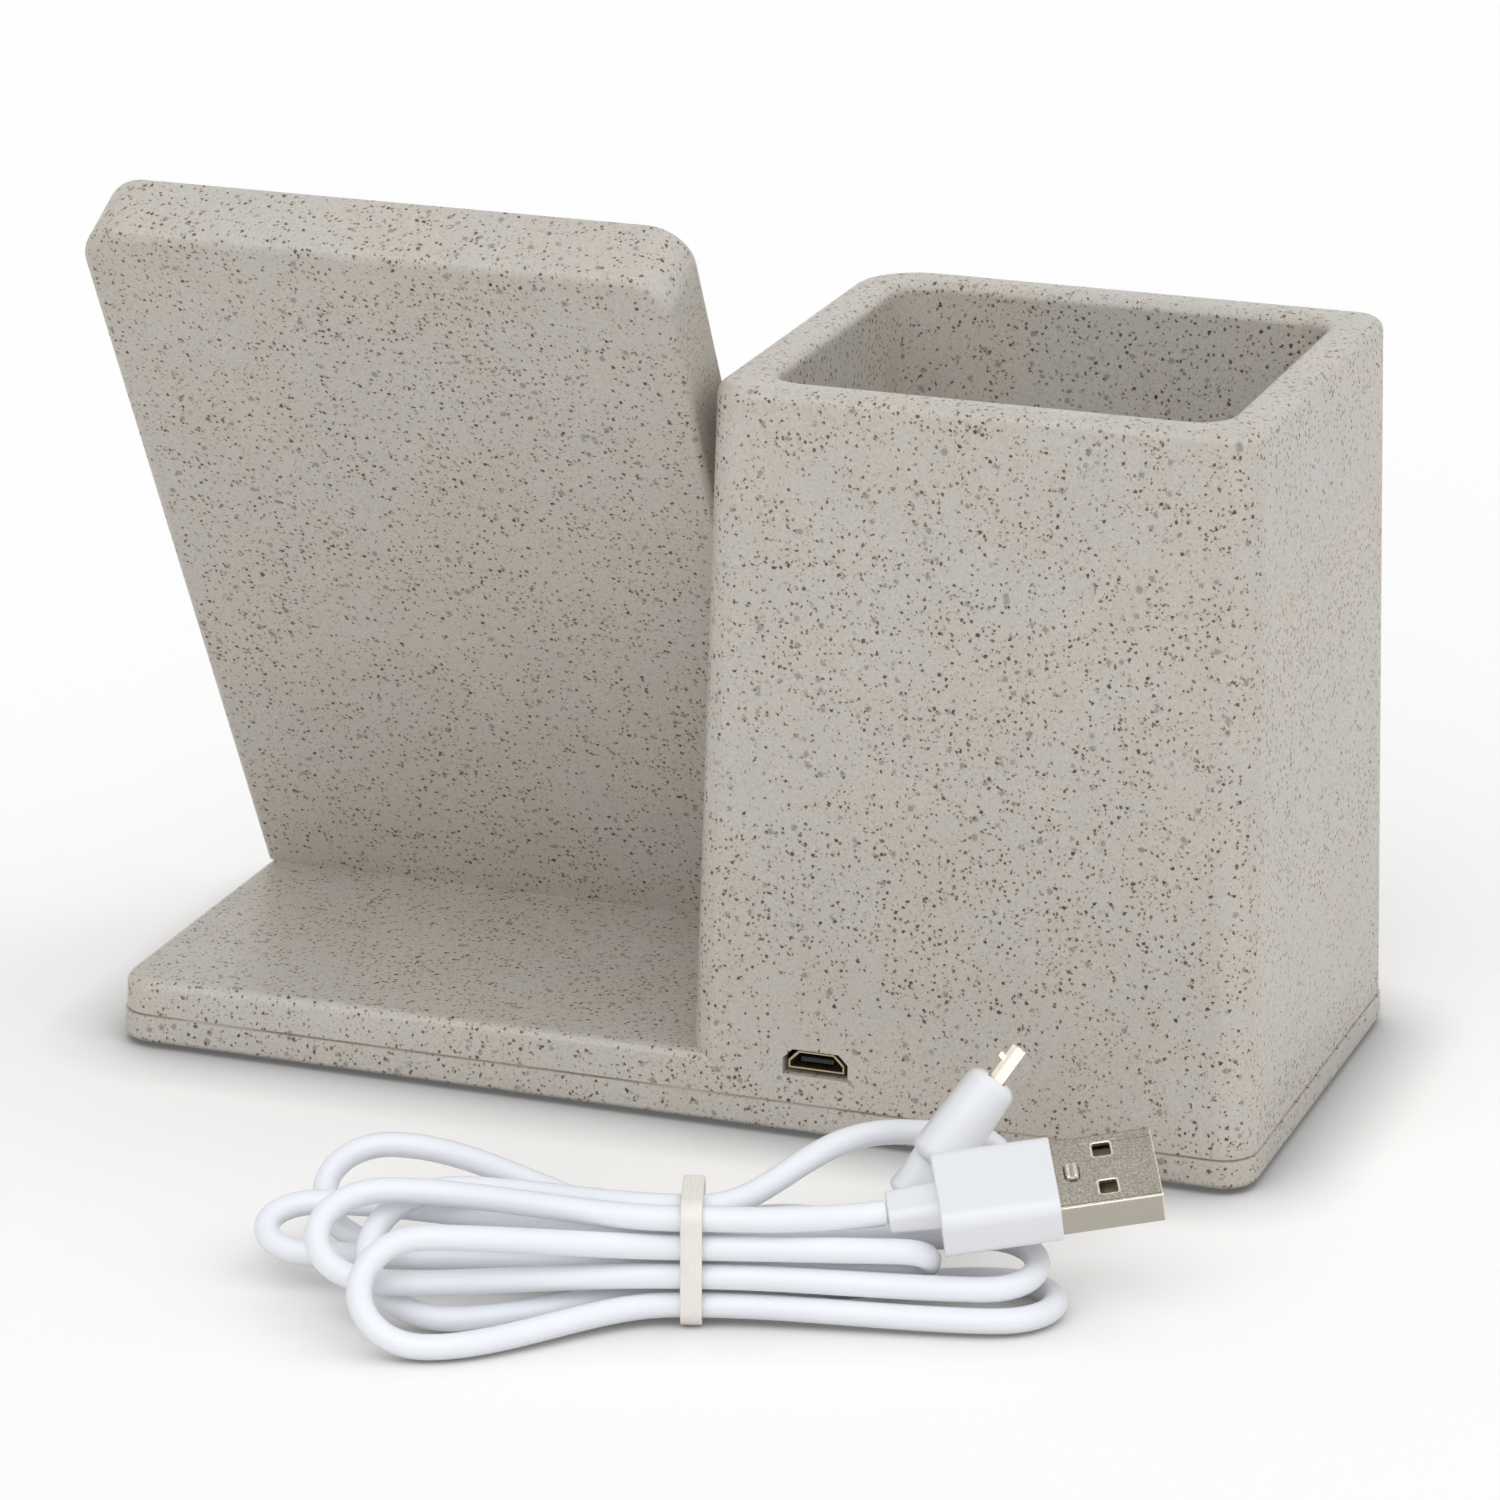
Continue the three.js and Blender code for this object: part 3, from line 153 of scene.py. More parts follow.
def hank_half_loop(end):
    """Centreline from one strand at the waist to the next, round one end of the hank."""
    start = strand_place(end.column, end.level)
    stop = strand_place(end.next_column, end.next_level)
    waist_middle = (start + stop) / 2
    waist_half = (start - stop) / 2
    lean = math.radians(end.lean)
    end_half = Vector((math.sin(lean), math.cos(lean))) * end.radius
    if waist_half.dot(end_half) < 0:
        end_half.negate()
    end_middle = Vector((end.offset, end.height))
    run = end.reach - end.nose * end.radius
    straight = BAND_WIDTH / 2 + FIT_GAP

    def on_run(share, sign):
        drawn = share * share * (3 - 2 * share)
        place = waist_middle.lerp(end_middle, drawn) + waist_half.lerp(end_half, drawn) * sign
        raised = end.lift * math.sin(math.pi * share) ** 2 if sign > 0 else 0.0
        return Vector((end.side * (straight + (run - straight) * share), place.x, place.y + raised))

    def round_end(share):
        turn = math.pi * share
        place = end_middle + end_half * math.cos(turn)
        return Vector((end.side * (run + end.nose * end.radius * math.sin(turn)), place.x, place.y))

    out = [on_run(step / RUN_STEPS, 1) for step in range(RUN_STEPS)]
    turn = [round_end(step / END_STEPS) for step in range(END_STEPS)]
    back = [on_run(1 - step / RUN_STEPS, -1) for step in range(RUN_STEPS + 1)]
    return out + turn + back


def cable_points():
    """The whole cable from the large plug to the small one."""
    first = HANK_ENDS[0]
    points = [Vector(point) for point in reversed(USB_ROUTE)]
    points.append(Vector((TAIL_LENGTH / 2, *strand_place(first.column, first.level))))
    for end in HANK_ENDS:
        points += hank_half_loop(end)
    points += [Vector(point) for point in MICRO_ROUTE]
    return [HANK_FRAME @ point for point in points]


def resampled(points, spacing):
    """The smooth curve through the points, at even steps, and its length."""
    points = np.array(points, float)
    steps = np.linalg.norm(np.diff(points, axis=0), axis=1) ** 0.5
    knots = np.concatenate([[0.0], np.cumsum(steps)])
    last = len(points) - 1
    dense = []
    for i in range(last):
        a, b = points[i], points[i + 1]
        t = knots[i + 1] - knots[i]
        slope_a = slope_b = (b - a) / t
        if i > 0:
            before, t_before = points[i - 1], knots[i] - knots[i - 1]
            slope_a = (a - before) / t_before - (b - before) / (t_before + t) + (b - a) / t
        if i + 1 < last:
            after, t_after = points[i + 2], knots[i + 2] - knots[i + 1]
            slope_b = (b - a) / t - (after - a) / (t + t_after) + (after - b) / t_after
        for step in range(CURVE_STEPS):
            s = step / CURVE_STEPS
            near_a = (2 * s ** 3 - 3 * s ** 2 + 1) * a + (s ** 3 - 2 * s ** 2 + s) * t * slope_a
            near_b = (3 * s ** 2 - 2 * s ** 3) * b + (s ** 3 - s ** 2) * t * slope_b
            dense.append(near_a + near_b)
    dense = np.array([*dense, points[-1]])
    along = np.concatenate([[0.0], np.cumsum(np.linalg.norm(np.diff(dense, axis=0), axis=1))])
    marks = np.linspace(0, along[-1], int(along[-1] / spacing) + 1)
    line = np.stack([np.interp(marks, along, dense[:, axis]) for axis in range(3)], axis=1)
    return line, along[-1]


def smoothed(points, passes):
    """Points drawn a little towards their neighbours, so that the bends come on gently; both ends stay."""
    for _ in range(passes):
        points[2:-2] = 0.5 * points[2:-2] + 0.25 * (points[1:-3] + points[3:-1])
    return points


def add_tube(name, points, diameter):
    """A round tube along the points. Its bevel is 1 m, and each point's radius brings it down to size."""
    data = bpy.data.curves.new(name, "CURVE")
    data.dimensions = "3D"
    data.bevel_depth = 1.0
    data.bevel_resolution = TUBE_ROUNDNESS
    data.use_fill_caps = True
    spline = data.splines.new("POLY")
    spline.points.add(len(points) - 1)
    for target, point in zip(spline.points, points):
        target.co = (*row(point), 1.0)
        target.radius = diameter / 2 * MM
    spline.use_smooth = True
    return add_object(name, data)


cable_line, cable_length = resampled(cable_points(), CABLE_STEP)
charging_cable = add_tube("charging_cable", smoothed(cable_line, CABLE_SMOOTHING), CABLE_DIAMETER)
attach(charging_cable, "root")
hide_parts("cable_hank", "cable_to_usb_a_plug", "cable_to_micro_usb_plug")

# Large plug, in the hank's frame: where its grip starts, the middle of its mouth, and which way is up for it
USB_START = (23.2, -0.19, 13.24)
USB_TIP = (55.31, 2.36, 17.77)
USB_UPWARD = (-0.1, -0.373, 0.922)


def plug_frame(start, tip, upward):
    """A plug's own frame: Z along it, Y out of its upper face."""
    axis = (Vector(tip) - Vector(start)).normalized()
    across = Vector(upward).cross(axis).normalized()
    out = axis.cross(across)
    return HANK_FRAME @ Matrix.Translation(start) @ Matrix((across, out, axis)).transposed().to_4x4()


USB_FRAME = plug_frame(USB_START, USB_TIP, USB_UPWARD)


# Materials. Their patterns are laid out in millimetres

class Nodes:
    """Short ways to add shader nodes to one material."""

    def __init__(self, name):
        self.material = bpy.data.materials.new(name)
        self.material.use_nodes = True
        self.tree = self.material.node_tree
        self.shader = self.tree.nodes["Principled BSDF"]

    def link(self, source, target):
        self.tree.links.new(source, target)

    def add(self, kind, inputs, **settings):
        """A node with its settings, and each input set to a value or linked to another node's output."""
        node = self.tree.nodes.new(kind)
        for key, value in settings.items():
            setattr(node, key, value)
        for key, value in inputs.items():
            if isinstance(value, bpy.types.NodeSocket):
                self.link(value, node.inputs[key])
            else:
                node.inputs[key].default_value = value
        return node

    def place(self):
        """Where the point lies on the object, in millimetres."""
        metres = self.add("ShaderNodeTexCoord", {}).outputs["Object"]
        node = self.add("ShaderNodeVectorMath", {0: metres, "Scale": 1 / MM}, operation="SCALE")
        return node.outputs["Vector"]

    def noise(self, vector, scale, detail=2.0, roughness=0.5):
        inputs = {"Vector": vector, "Scale": scale, "Detail": detail, "Roughness": roughness}
        return self.add("ShaderNodeTexNoise", inputs).outputs["Fac"]

    def math(self, operation, *values):
        return self.add("ShaderNodeMath", dict(enumerate(values)), operation=operation).outputs[0]

    def vector(self, operation, *values):
        node = self.add("ShaderNodeVectorMath", dict(enumerate(values)), operation=operation)
        return node.outputs["Vector"]

    def ramp(self, value, low, high, out_low=0.0, out_high=1.0, smooth=True):
        inputs = {"Value": value, "From Min": low, "From Max": high, "To Min": out_low, "To Max": out_high}
        kind = "SMOOTHSTEP" if smooth else "LINEAR"
        return self.add("ShaderNodeMapRange", inputs, interpolation_type=kind).outputs["Result"]

    def mix(self, factor, a, b):
        """The colour a where the factor is 0, b where it is 1."""
        return self.add("ShaderNodeMix", {"Factor": factor, 6: a, 7: b}, data_type="RGBA").outputs[2]

    def bump(self, height, distance, strength):
        node = self.add("ShaderNodeBump", {"Height": height, "Distance": distance, "Strength": strength})
        self.link(node.outputs["Normal"], self.shader.inputs["Normal"])


def colour(red, green, blue):
    """An sRGB colour from 0 to 255 as the linear one that Blender uses."""
    def linear(value):
        value /= 255
        return value / 12.92 if value <= 0.04045 else ((value + 0.055) / 1.055) ** 2.4
    return (linear(red), linear(green), linear(blue), 1.0)


# Ranges of a noise's values between which most ramps run
CENTRE = (0.35, 0.65)
BROAD = (0.3, 0.7)
BUMP_STRENGTH = 0.5

# Grains in the plastic: how far apart they lie, their least radius and what chance adds to it, the share of
# places that hold one, the width of the blurred rim, a number that keeps the kinds apart, how strong the rim
# is, and between which two colours the rim and the middle vary from grain to grain
Grains = namedtuple("Grains", "size radius spread share rim seed strength rim_tones middle_tones")
SOFT_GRAINS = Grains(
    size=1.7, radius=0.15, spread=0.32, share=0.75, rim=0.17, seed=3.0, strength=0.62,
    rim_tones=(colour(104, 101, 108), colour(126, 114, 104)), middle_tones=None)
FINE_GRAINS = Grains(
    size=0.6, radius=0.05, spread=0.09, share=0.9, rim=0.04, seed=5.0, strength=0.75,
    rim_tones=(colour(156, 118, 80), colour(108, 96, 88)), middle_tones=None)
BROWN_GRAINS = Grains(
    size=0.76, radius=0.07, spread=0.19, share=1.1, rim=0.06, seed=1.0, strength=0.85,
    rim_tones=(colour(150, 118, 86), colour(168, 142, 112)),
    middle_tones=(colour(84, 62, 46), colour(136, 102, 68)))
DARK_GRAINS = Grains(
    size=1.0, radius=0.09, spread=0.2, share=0.9, rim=0.07, seed=2.0, strength=0.8,
    rim_tones=(colour(124, 114, 108), colour(124, 114, 108)),
    middle_tones=(colour(58, 48, 46), colour(98, 84, 76)))
SEED_STEP = (17.3, 9.1, 5.7)
WOBBLE_SCALE = 2.6
WOBBLE_DETAIL = 3.0
WOBBLE_REACH = 0.75
MIDDLE_RAMP = 1.6


def add_grains(n, place, base, kind, crowd):
    """The base colour with ragged grains of one kind laid over it, more of them where the crowd is high."""
    offset = n.vector("ADD", place, [kind.seed * step for step in SEED_STEP])
    wobble = n.add("ShaderNodeTexNoise", {"Vector": offset, "Scale": WOBBLE_SCALE, "Detail": WOBBLE_DETAIL})
    shaped = n.vector("MULTIPLY_ADD", wobble.outputs["Color"], [WOBBLE_REACH] * 3, offset)
    cells = n.add("ShaderNodeTexVoronoi", {"Vector": shaped, "Scale": 1 / kind.size, "Randomness": 1.0})
    chance = n.add("ShaderNodeSeparateColor", {"Color": cells.outputs["Color"]}).outputs
    radius = n.math("MULTIPLY_ADD", chance["Red"], kind.spread / kind.size, kind.radius / kind.size)
    depth = n.math("SUBTRACT", radius, cells.outputs["Distance"])
    kept = n.math("LESS_THAN", chance["Green"], n.math("MULTIPLY", crowd, kind.share))
    rim = kind.rim / kind.size
    edge = n.math("MULTIPLY", n.ramp(depth, -rim, rim), kept)
    base = n.mix(n.math("MULTIPLY", edge, kind.strength), base, n.mix(chance["Blue"], *kind.rim_tones))
    if kind.middle_tones:
        middle = n.math("MULTIPLY", n.ramp(depth, 0.0, MIDDLE_RAMP * rim), kept)
        base = n.mix(middle, base, n.mix(chance["Blue"], *kind.middle_tones))
    return base


# The plastic's clouds, mottle, crowds of grains, gloss and relief: scale per millimetre, detail, roughness
CLOUD_NOISE = (0.05, 3.0, 0.6)
DRIFT_NOISE = (0.08, 3.0, 0.6)
MOTTLE_NOISE = (2.6, 3.0, 0.8)
CROWD_NOISE = (0.1, 2.0)
CLUSTER_NOISE = (0.45, 2.0)
GLOSS_NOISE = (0.8, 3.0)
RELIEF_NOISE = (1.5, 3.0, 0.6)
ASIDE = (80.0, 40.0, 15.0)
STONE_TONE = colour(203, 199, 192)
STONE_WARM = colour(206, 198, 185)
STONE_DRIFT = colour(199, 192, 182)
STONE_MOTTLE = colour(156, 148, 138)
DRIFT_SHARE = 0.5
MOTTLE_SHARE = 0.5
CROWD_FACTOR = (0.55, 1.3)
CLUSTER_FACTOR = (0.5, 1.4)
DARK_ZONE = (0.38, 0.62)
DARK_FACTOR = (0.45, 1.5)
# Painted shade in the plastic's crevices: how far the surface looks for its own faces, its samples, the
# openness over which the shade fades out, and the shade's dark tone
CREVICE_SHADE_REACH = 0.0025
CREVICE_SHADE_SAMPLES = 6
CREVICE_SHADE_OPENNESS = (0.05, 0.36)
CREVICE_SHADE_TONE = colour(40, 34, 28)
STONE_ROUGHNESS = (0.35, 0.45)
STONE_SPECULAR = 0.45
STONE_RELIEF = 0.00004


def stone_plastic():
    """Light warm grey plastic, satin, with soft grey, fine, brown and dark grains, and painted shade
    darkening its crevices.
    """
    n = Nodes("stone_plastic")
    place = n.place()
    aside = n.vector("ADD", place, ASIDE)
    drift = n.noise(aside, *DRIFT_NOISE)
    mottle = n.ramp(n.noise(place, *MOTTLE_NOISE), *BROAD, MOTTLE_SHARE, 0.0, smooth=False)
    base = n.mix(n.ramp(n.noise(place, *CLOUD_NOISE), *CENTRE), STONE_TONE, STONE_WARM)
    base = n.mix(n.ramp(drift, *CENTRE, 0.0, DRIFT_SHARE), base, STONE_DRIFT)
    base = n.mix(mottle, base, STONE_MOTTLE)
    broad_crowd = n.ramp(n.noise(place, *CROWD_NOISE), *BROAD, *CROWD_FACTOR, smooth=False)
    clusters = n.ramp(n.noise(aside, *CLUSTER_NOISE), *CENTRE, *CLUSTER_FACTOR, smooth=False)
    crowd = n.math("MULTIPLY", broad_crowd, clusters)
    for kind in (SOFT_GRAINS, FINE_GRAINS, BROWN_GRAINS):
        base = add_grains(n, place, base, kind, crowd)
    dark_crowd = n.math("MULTIPLY", crowd, n.ramp(drift, *DARK_ZONE, *DARK_FACTOR, smooth=False))
    base = add_grains(n, place, base, DARK_GRAINS, dark_crowd)
    # Painted shade: where the surface's own faces close round it, the colour darkens towards the dark tone
    crevice_shade = n.add("ShaderNodeAmbientOcclusion", {"Distance": CREVICE_SHADE_REACH},
                   samples=CREVICE_SHADE_SAMPLES, only_local=True)
    base = n.mix(n.ramp(crevice_shade.outputs["AO"], *CREVICE_SHADE_OPENNESS), CREVICE_SHADE_TONE, base)
    n.link(base, n.shader.inputs["Base Color"])
    n.link(n.ramp(n.noise(place, *GLOSS_NOISE), *BROAD, *STONE_ROUGHNESS), n.shader.inputs["Roughness"])
    n.shader.inputs["Specular IOR Level"].default_value = STONE_SPECULAR
    n.bump(n.noise(place, *RELIEF_NOISE), STONE_RELIEF, BUMP_STRENGTH)
    return n.material


# Noises of a plain material, by detail and roughness, and how much coarser the broad one is
FINE_DETAIL = (4.0, 0.6)
BROAD_DETAIL = (2.0, 0.5)
BROAD_TO_FINE = 8
ROUGHNESS_SHIFT = 0.06
LEAST_ROUGHNESS = 0.05


def plain(name, tone, roughness, metallic=0.0, grain=2.0, tone_shift=0.06, bump=0.00003, second=None):
    """A material whose colour and gloss vary a little, as a moulded or plated surface does."""
    n = Nodes(name)
    place = n.place()
    fine = n.noise(place, grain, *FINE_DETAIL)
    broad = n.noise(place, grain / BROAD_TO_FINE, *BROAD_DETAIL)
    other = second or (*(channel * (1 - tone_shift * 2) for channel in tone[:3]), 1.0)
    least = max(roughness - ROUGHNESS_SHIFT, LEAST_ROUGHNESS)
    n.link(n.mix(n.ramp(broad, *CENTRE), tone, other), n.shader.inputs["Base Color"])
    n.link(n.ramp(fine, *BROAD, least, roughness + ROUGHNESS_SHIFT), n.shader.inputs["Roughness"])
    n.shader.inputs["Metallic"].default_value = metallic
    n.bump(fine, bump, BUMP_STRENGTH)
    return n.material


# Nickel: noises as above, how its two colours share the grains, and what is left of them on a plain face
NICKEL_GRAINS = (4.0, 3.0, 0.8)
NICKEL_CLOUDS = (0.3, 2.0)
GRAIN_CONTRAST = (0.36, 0.64)
CLOUD_FACTOR = (0.9, 1.0)
PLAIN_FACE_TONE = 0.6
PLAIN_FACE_GRAIN = 0.2
NICKEL_ROUGHNESS = (0.28, 0.42)
NICKEL_RELIEF = 0.00003


def nickel(name, bright, dull, grained_face=None):
    """Sandblasted nickel plating: fine grains that catch the light, on all faces or on one pair of them."""
    n = Nodes(name)
    place = n.place()
    grains = n.noise(place, *NICKEL_GRAINS)
    clouds = n.ramp(n.noise(place, *NICKEL_CLOUDS), *BROAD, *CLOUD_FACTOR)
    tone = n.math("MULTIPLY", n.ramp(grains, *GRAIN_CONTRAST, smooth=False), clouds)
    if grained_face:
        normal = n.add("ShaderNodeNewGeometry", {}).outputs["True Normal"]
        facing = n.add("ShaderNodeVectorMath", {0: normal, 1: grained_face}, operation="DOT_PRODUCT")
        facing = n.math("ABSOLUTE", facing.outputs["Value"])
        grained = n.ramp(facing, *BROAD, PLAIN_FACE_GRAIN, 1.0)
        contrast = n.math("MULTIPLY", n.math("SUBTRACT", tone, PLAIN_FACE_TONE), grained)
        tone = n.math("ADD", contrast, PLAIN_FACE_TONE)
        grains = n.math("MULTIPLY", grains, grained)
    n.link(n.mix(tone, dull, bright), n.shader.inputs["Base Color"])
    n.link(n.ramp(grains, *BROAD, *NICKEL_ROUGHNESS), n.shader.inputs["Roughness"])
    n.shader.inputs["Metallic"].default_value = 1.0
    n.bump(grains, NICKEL_RELIEF, BUMP_STRENGTH)
    return n.material


STONE = stone_plastic()
WHITE_CABLE = plain("white_cable", colour(240, 241, 245), 0.42, grain=0.5, tone_shift=0.01, bump=0.00002)
WHITE_PLUG = plain("white_plug", colour(234, 234, 236), 0.36, grain=0.6, tone_shift=0.01, bump=0.00002)
BAND = plain("band_rubber", colour(240, 234, 226), 0.55, grain=3.0, tone_shift=0.02, bump=0.00004)
NICKEL = nickel("nickel", colour(202, 197, 184), colour(134, 129, 118), tuple(USB_FRAME.col[1].xyz))
# A lighter copy of the nickel: a painted highlight on the large plug's rims, ridges and fold
NICKEL_HIGHLIGHT = nickel("nickel_painted_highlight", colour(240, 235, 222), colour(206, 200, 186))
# A darker copy of the nickel: painted shade on the bump's outline and the fold's dark side, and the seam's
# dark line
NICKEL_SHADE_AND_SEAM = nickel("nickel_painted_shade_and_seam", colour(112, 104, 90), colour(86, 79, 68))
# A lighter copy of the nickel on the small plug's tip: a painted highlight
MICRO_NICKEL_HIGHLIGHT = nickel("micro_nickel_painted_highlight", colour(246, 240, 224), colour(226, 218, 198))
JOINT = plain("stone_joint", colour(152, 134, 110), 0.6, grain=0.5, second=colour(194, 185, 170))
SOCKET_NICKEL = nickel("socket_nickel", colour(214, 198, 164), colour(160, 146, 118))
# The large plug's white tongue darkened: painted shade inside its shell
TONGUE_SHADE = plain("tongue_painted_shade", colour(170, 156, 132), 0.45, grain=3.0, second=colour(132, 120, 100))
STEEL = plain("zinc_steel", colour(188, 190, 194), 0.38, metallic=1.0, grain=4.0)
RUBBER = plain("foot_rubber", colour(46, 45, 43), 0.85, grain=3.0, bump=0.00008)
COPPER = plain("copper", colour(190, 112, 66), 0.35, metallic=1.0, grain=5.0)
FERRITE = plain("ferrite", colour(44, 44, 47), 0.75, grain=6.0, bump=0.00008)
BOARD = plain("solder_mask", colour(28, 88, 56), 0.35, grain=1.0)
CHIP = plain("chip_black", colour(26, 26, 28), 0.55, grain=8.0)
CERAMIC = plain("capacitor_ceramic", colour(158, 124, 86), 0.6, grain=5.0)

# A CAD node takes the material of the name that its own name starts with
NODE_MATERIALS = {
    "upper_housing": STONE, "bottom_cover": STONE, "phone_stand_rear_shell": STONE, "charging_panel": STONE,
    "charging_coil": COPPER, "ferrite_shield": FERRITE, "coil_lead": COPPER, "circuit_board": BOARD,
    "board_screw": STEEL, "stand_screw": STEEL, "cover_screw": STEEL, "rubber_foot": RUBBER,
    "charging_socket_shell": SOCKET_NICKEL, "charging_socket_tongue": CHIP, "controller_chip": CHIP,
    "coil_driver_chip": CHIP, "power_inductor": FERRITE, "resonance_capacitor": CERAMIC,
    "usb_a_plug_body": WHITE_PLUG, "micro_usb_plug_body": WHITE_PLUG, "usb_a_plug_tongue": TONGUE_SHADE,
    "usb_a_plug_shell": NICKEL, "micro_usb_plug_shell": MICRO_NICKEL_HIGHLIGHT, "cable_band": BAND,
}
SMOOTH_NODE = math.radians(38)
SMOOTH_SKIN = math.radians(50)
SAME_PLACE = 1e-6


def soften(obj, limit):
    """Smooth shading across facets that meet at less than the limit, weighted by area to keep flats flat."""
    mesh = obj.data

    def place(index):
        return tuple(round(value / SAME_PLACE) for value in mesh.vertices[index].co)

    corners = {}
    for polygon in mesh.polygons:
        polygon.use_smooth = True
        for index in polygon.vertices:
            corners.setdefault(place(index), []).append((polygon.normal.copy(), polygon.area))
    least = math.cos(limit)
    normals = []
    for polygon in mesh.polygons:
        for index in polygon.vertices:
            total = Vector((0.0, 0.0, 0.0))
            for normal, area in corners[place(index)]:
                if normal.dot(polygon.normal) >= least:
                    total += normal * area
            normals.append(total.normalized() if total.length > 0 else polygon.normal)
    mesh.normals_split_custom_set(normals)


charging_cable.data.materials.append(WHITE_CABLE)
for name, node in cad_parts.items():
    found = [key for key in NODE_MATERIALS if name.startswith(key)]
    if found:
        node.data.materials.clear()
        node.data.materials.append(NODE_MATERIALS[found[0]])
    soften(node, SMOOTH_NODE)


# Small pieces laid over the CAD nodes. A corner takes at most this share of half a side, so that no two of
# its outline's points fall together
CORNER_SHARE = 0.97


def rounded_outline(half_x, half_y, radius, steps=6):
    """Rounded rectangle round the middle, as points that run once round it."""
    radius = min(radius, CORNER_SHARE * half_x, CORNER_SHARE * half_y)
    corners = [(half_x - radius, half_y - radius), (radius - half_x, half_y - radius),
               (radius - half_x, radius - half_y), (half_x - radius, radius - half_y)]
    points = []
    for quarter, (x, y) in enumerate(corners):
        for step in range(steps + 1):
            angle = (quarter + step / steps) * math.pi / 2
            points.append((x + radius * math.cos(angle), y + radius * math.sin(angle)))
    return points


def add_skin(name, rings, place, material, closed=True):
    """A skin through rings with as many points each, given in a frame that `place` puts into the drawing.
    It joins its last ring to its first, or where it isn't closed ends in two flat caps."""
    bm = bmesh.new()
    rows = [[bm.verts.new(row(place @ Vector(point))) for point in ring] for ring in rings]
    pairs = list(zip(rows, rows[1:]))
    if closed:
        pairs.append((rows[-1], rows[0]))
    else:
        bm.faces.new(rows[0])
        bm.faces.new(rows[-1])
    for low, high in pairs:
        for i in range(len(low)):
            j = (i + 1) % len(low)
            bm.faces.new((low[i], low[j], high[j], high[i]))
    bmesh.ops.recalc_face_normals(bm, faces=bm.faces)
    data = bpy.data.meshes.new(name)
    bm.to_mesh(data)
    bm.free()
    data.materials.append(material)
    piece = add_object(name, data)
    soften(piece, SMOOTH_SKIN)
    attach(piece, "root")
    return piece


# Base, and the closed joint between its tray and its housing: half its height, and how far in it starts
# and ends
BASE_LENGTH = 156.0
BASE_DEPTH = 70.0
BASE_RADIUS = 4.6
BASE_DRAFT = math.tan(math.radians(1.35))
PARTING_HEIGHT = 4.5
PARTING_HALF = 0.17
PARTING_OUTER = 0.13
PARTING_INNER = 1.1
PARTING_STEPS = 10


def add_parting_strip():
    corners = ((PARTING_OUTER, -PARTING_HALF), (PARTING_OUTER, PARTING_HALF),
               (PARTING_INNER, PARTING_HALF), (PARTING_INNER, -PARTING_HALF))
    rings = []
    for inset, height in corners:
        in_from_foot = inset + BASE_DRAFT * PARTING_HEIGHT
        outline = rounded_outline(
            BASE_LENGTH / 2 - in_from_foot, BASE_DEPTH / 2 - in_from_foot, BASE_RADIUS - inset, PARTING_STEPS)
        rings.append([(BASE_LENGTH / 2 + x, BASE_DEPTH / 2 + y, PARTING_HEIGHT + height) for x, y in outline])
    return add_skin("parting_strip", rings, Matrix.Identity(4), JOINT)


# Strip that closes the foot of the leaning plate down to the deck: its section and its places along the foot
FOOT_SECTION = ((49.1, 9.44), (49.06, 9.84), (50.6, 9.84), (50.6, 9.44))
FOOT_PLACES = (1.9, 20.0, 60.0, 79.0)


def add_stand_foot_strip():
    rings = [[(x, y, z) for y, z in FOOT_SECTION] for x in FOOT_PLACES]
    return add_skin("stand_foot_strip", rings, Matrix.Identity(4), STONE, closed=False)


add_parting_strip()
add_stand_foot_strip()

# Elastic band with rounded edges and fine lengthwise ribs
BAND_RIBS = 5
RIB_STEPS = 8
BAND_RIB_DEPTH = 0.035
BAND_EDGE = 0.2
BAND_CORNER_STEPS = 12
QUARTER_TURN = [step / 4 * math.pi / 2 for step in range(5)]


def band_section():
    """The band's section: across it, and outward from its inner face."""
    half = BAND_WIDTH / 2
    across = half - BAND_EDGE
    outer = BAND_THICKNESS - BAND_EDGE
    turns = [(BAND_EDGE * math.sin(angle), BAND_EDGE * math.cos(angle)) for angle in QUARTER_TURN]
    points = [(-half + BAND_EDGE - sine, BAND_EDGE - cosine) for sine, cosine in turns]
    points += [(-half + BAND_EDGE - cosine, outer + sine) for sine, cosine in turns]
    count = BAND_RIBS * RIB_STEPS
    for step in range(1, count):
        share = step / count
        dip = BAND_RIB_DEPTH * (0.5 - 0.5 * math.cos(share * BAND_RIBS * math.tau))
        points.append((-across + 2 * across * share, BAND_THICKNESS - dip))
    points += [(across + sine, outer + cosine) for sine, cosine in turns]
    points += [(across + cosine, BAND_EDGE - sine) for sine, cosine in turns]
    return points


def add_band():
    lowest = strand_place(0, 0)
    highest = strand_place(2, 3)
    middle = (lowest + highest) / 2
    reach = (highest - lowest) / 2
    rings = []
    for x, depth in band_section():
        radius = CABLE_DIAMETER / 2 + FIT_GAP + depth
        outline = rounded_outline(reach.x + radius, reach.y + radius, radius, BAND_CORNER_STEPS)
        rings.append([(x, middle.x + y, middle.y + z) for y, z in outline])
    band = add_skin("elastic_band", rings, HANK_FRAME, BAND)
    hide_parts("cable_band")
    return band


# Details of the large plug, in its own frame
USB_HALF_WIDTH = 6.0
USB_HALF_HEIGHT = 2.25
USB_BODY_TOP = 20.35
USB_MOUTH = 32.55
USB_HOLE_PLACE = 26.35
USB_HOLE_SIDE = 3.2
USB_DIMPLE_PLACE = 22.35

# Rim of a hole: half its size, its corner radius and its height over the shell, ring by ring
HOLE_RIM = ((1.38, 0.5, -0.1), (1.34, 0.48, 0.035), (1.22, 0.4, 0.05),
            (1.1, 0.34, -0.02), (1.06, 0.32, -0.38), (1.3, 0.45, -0.38))
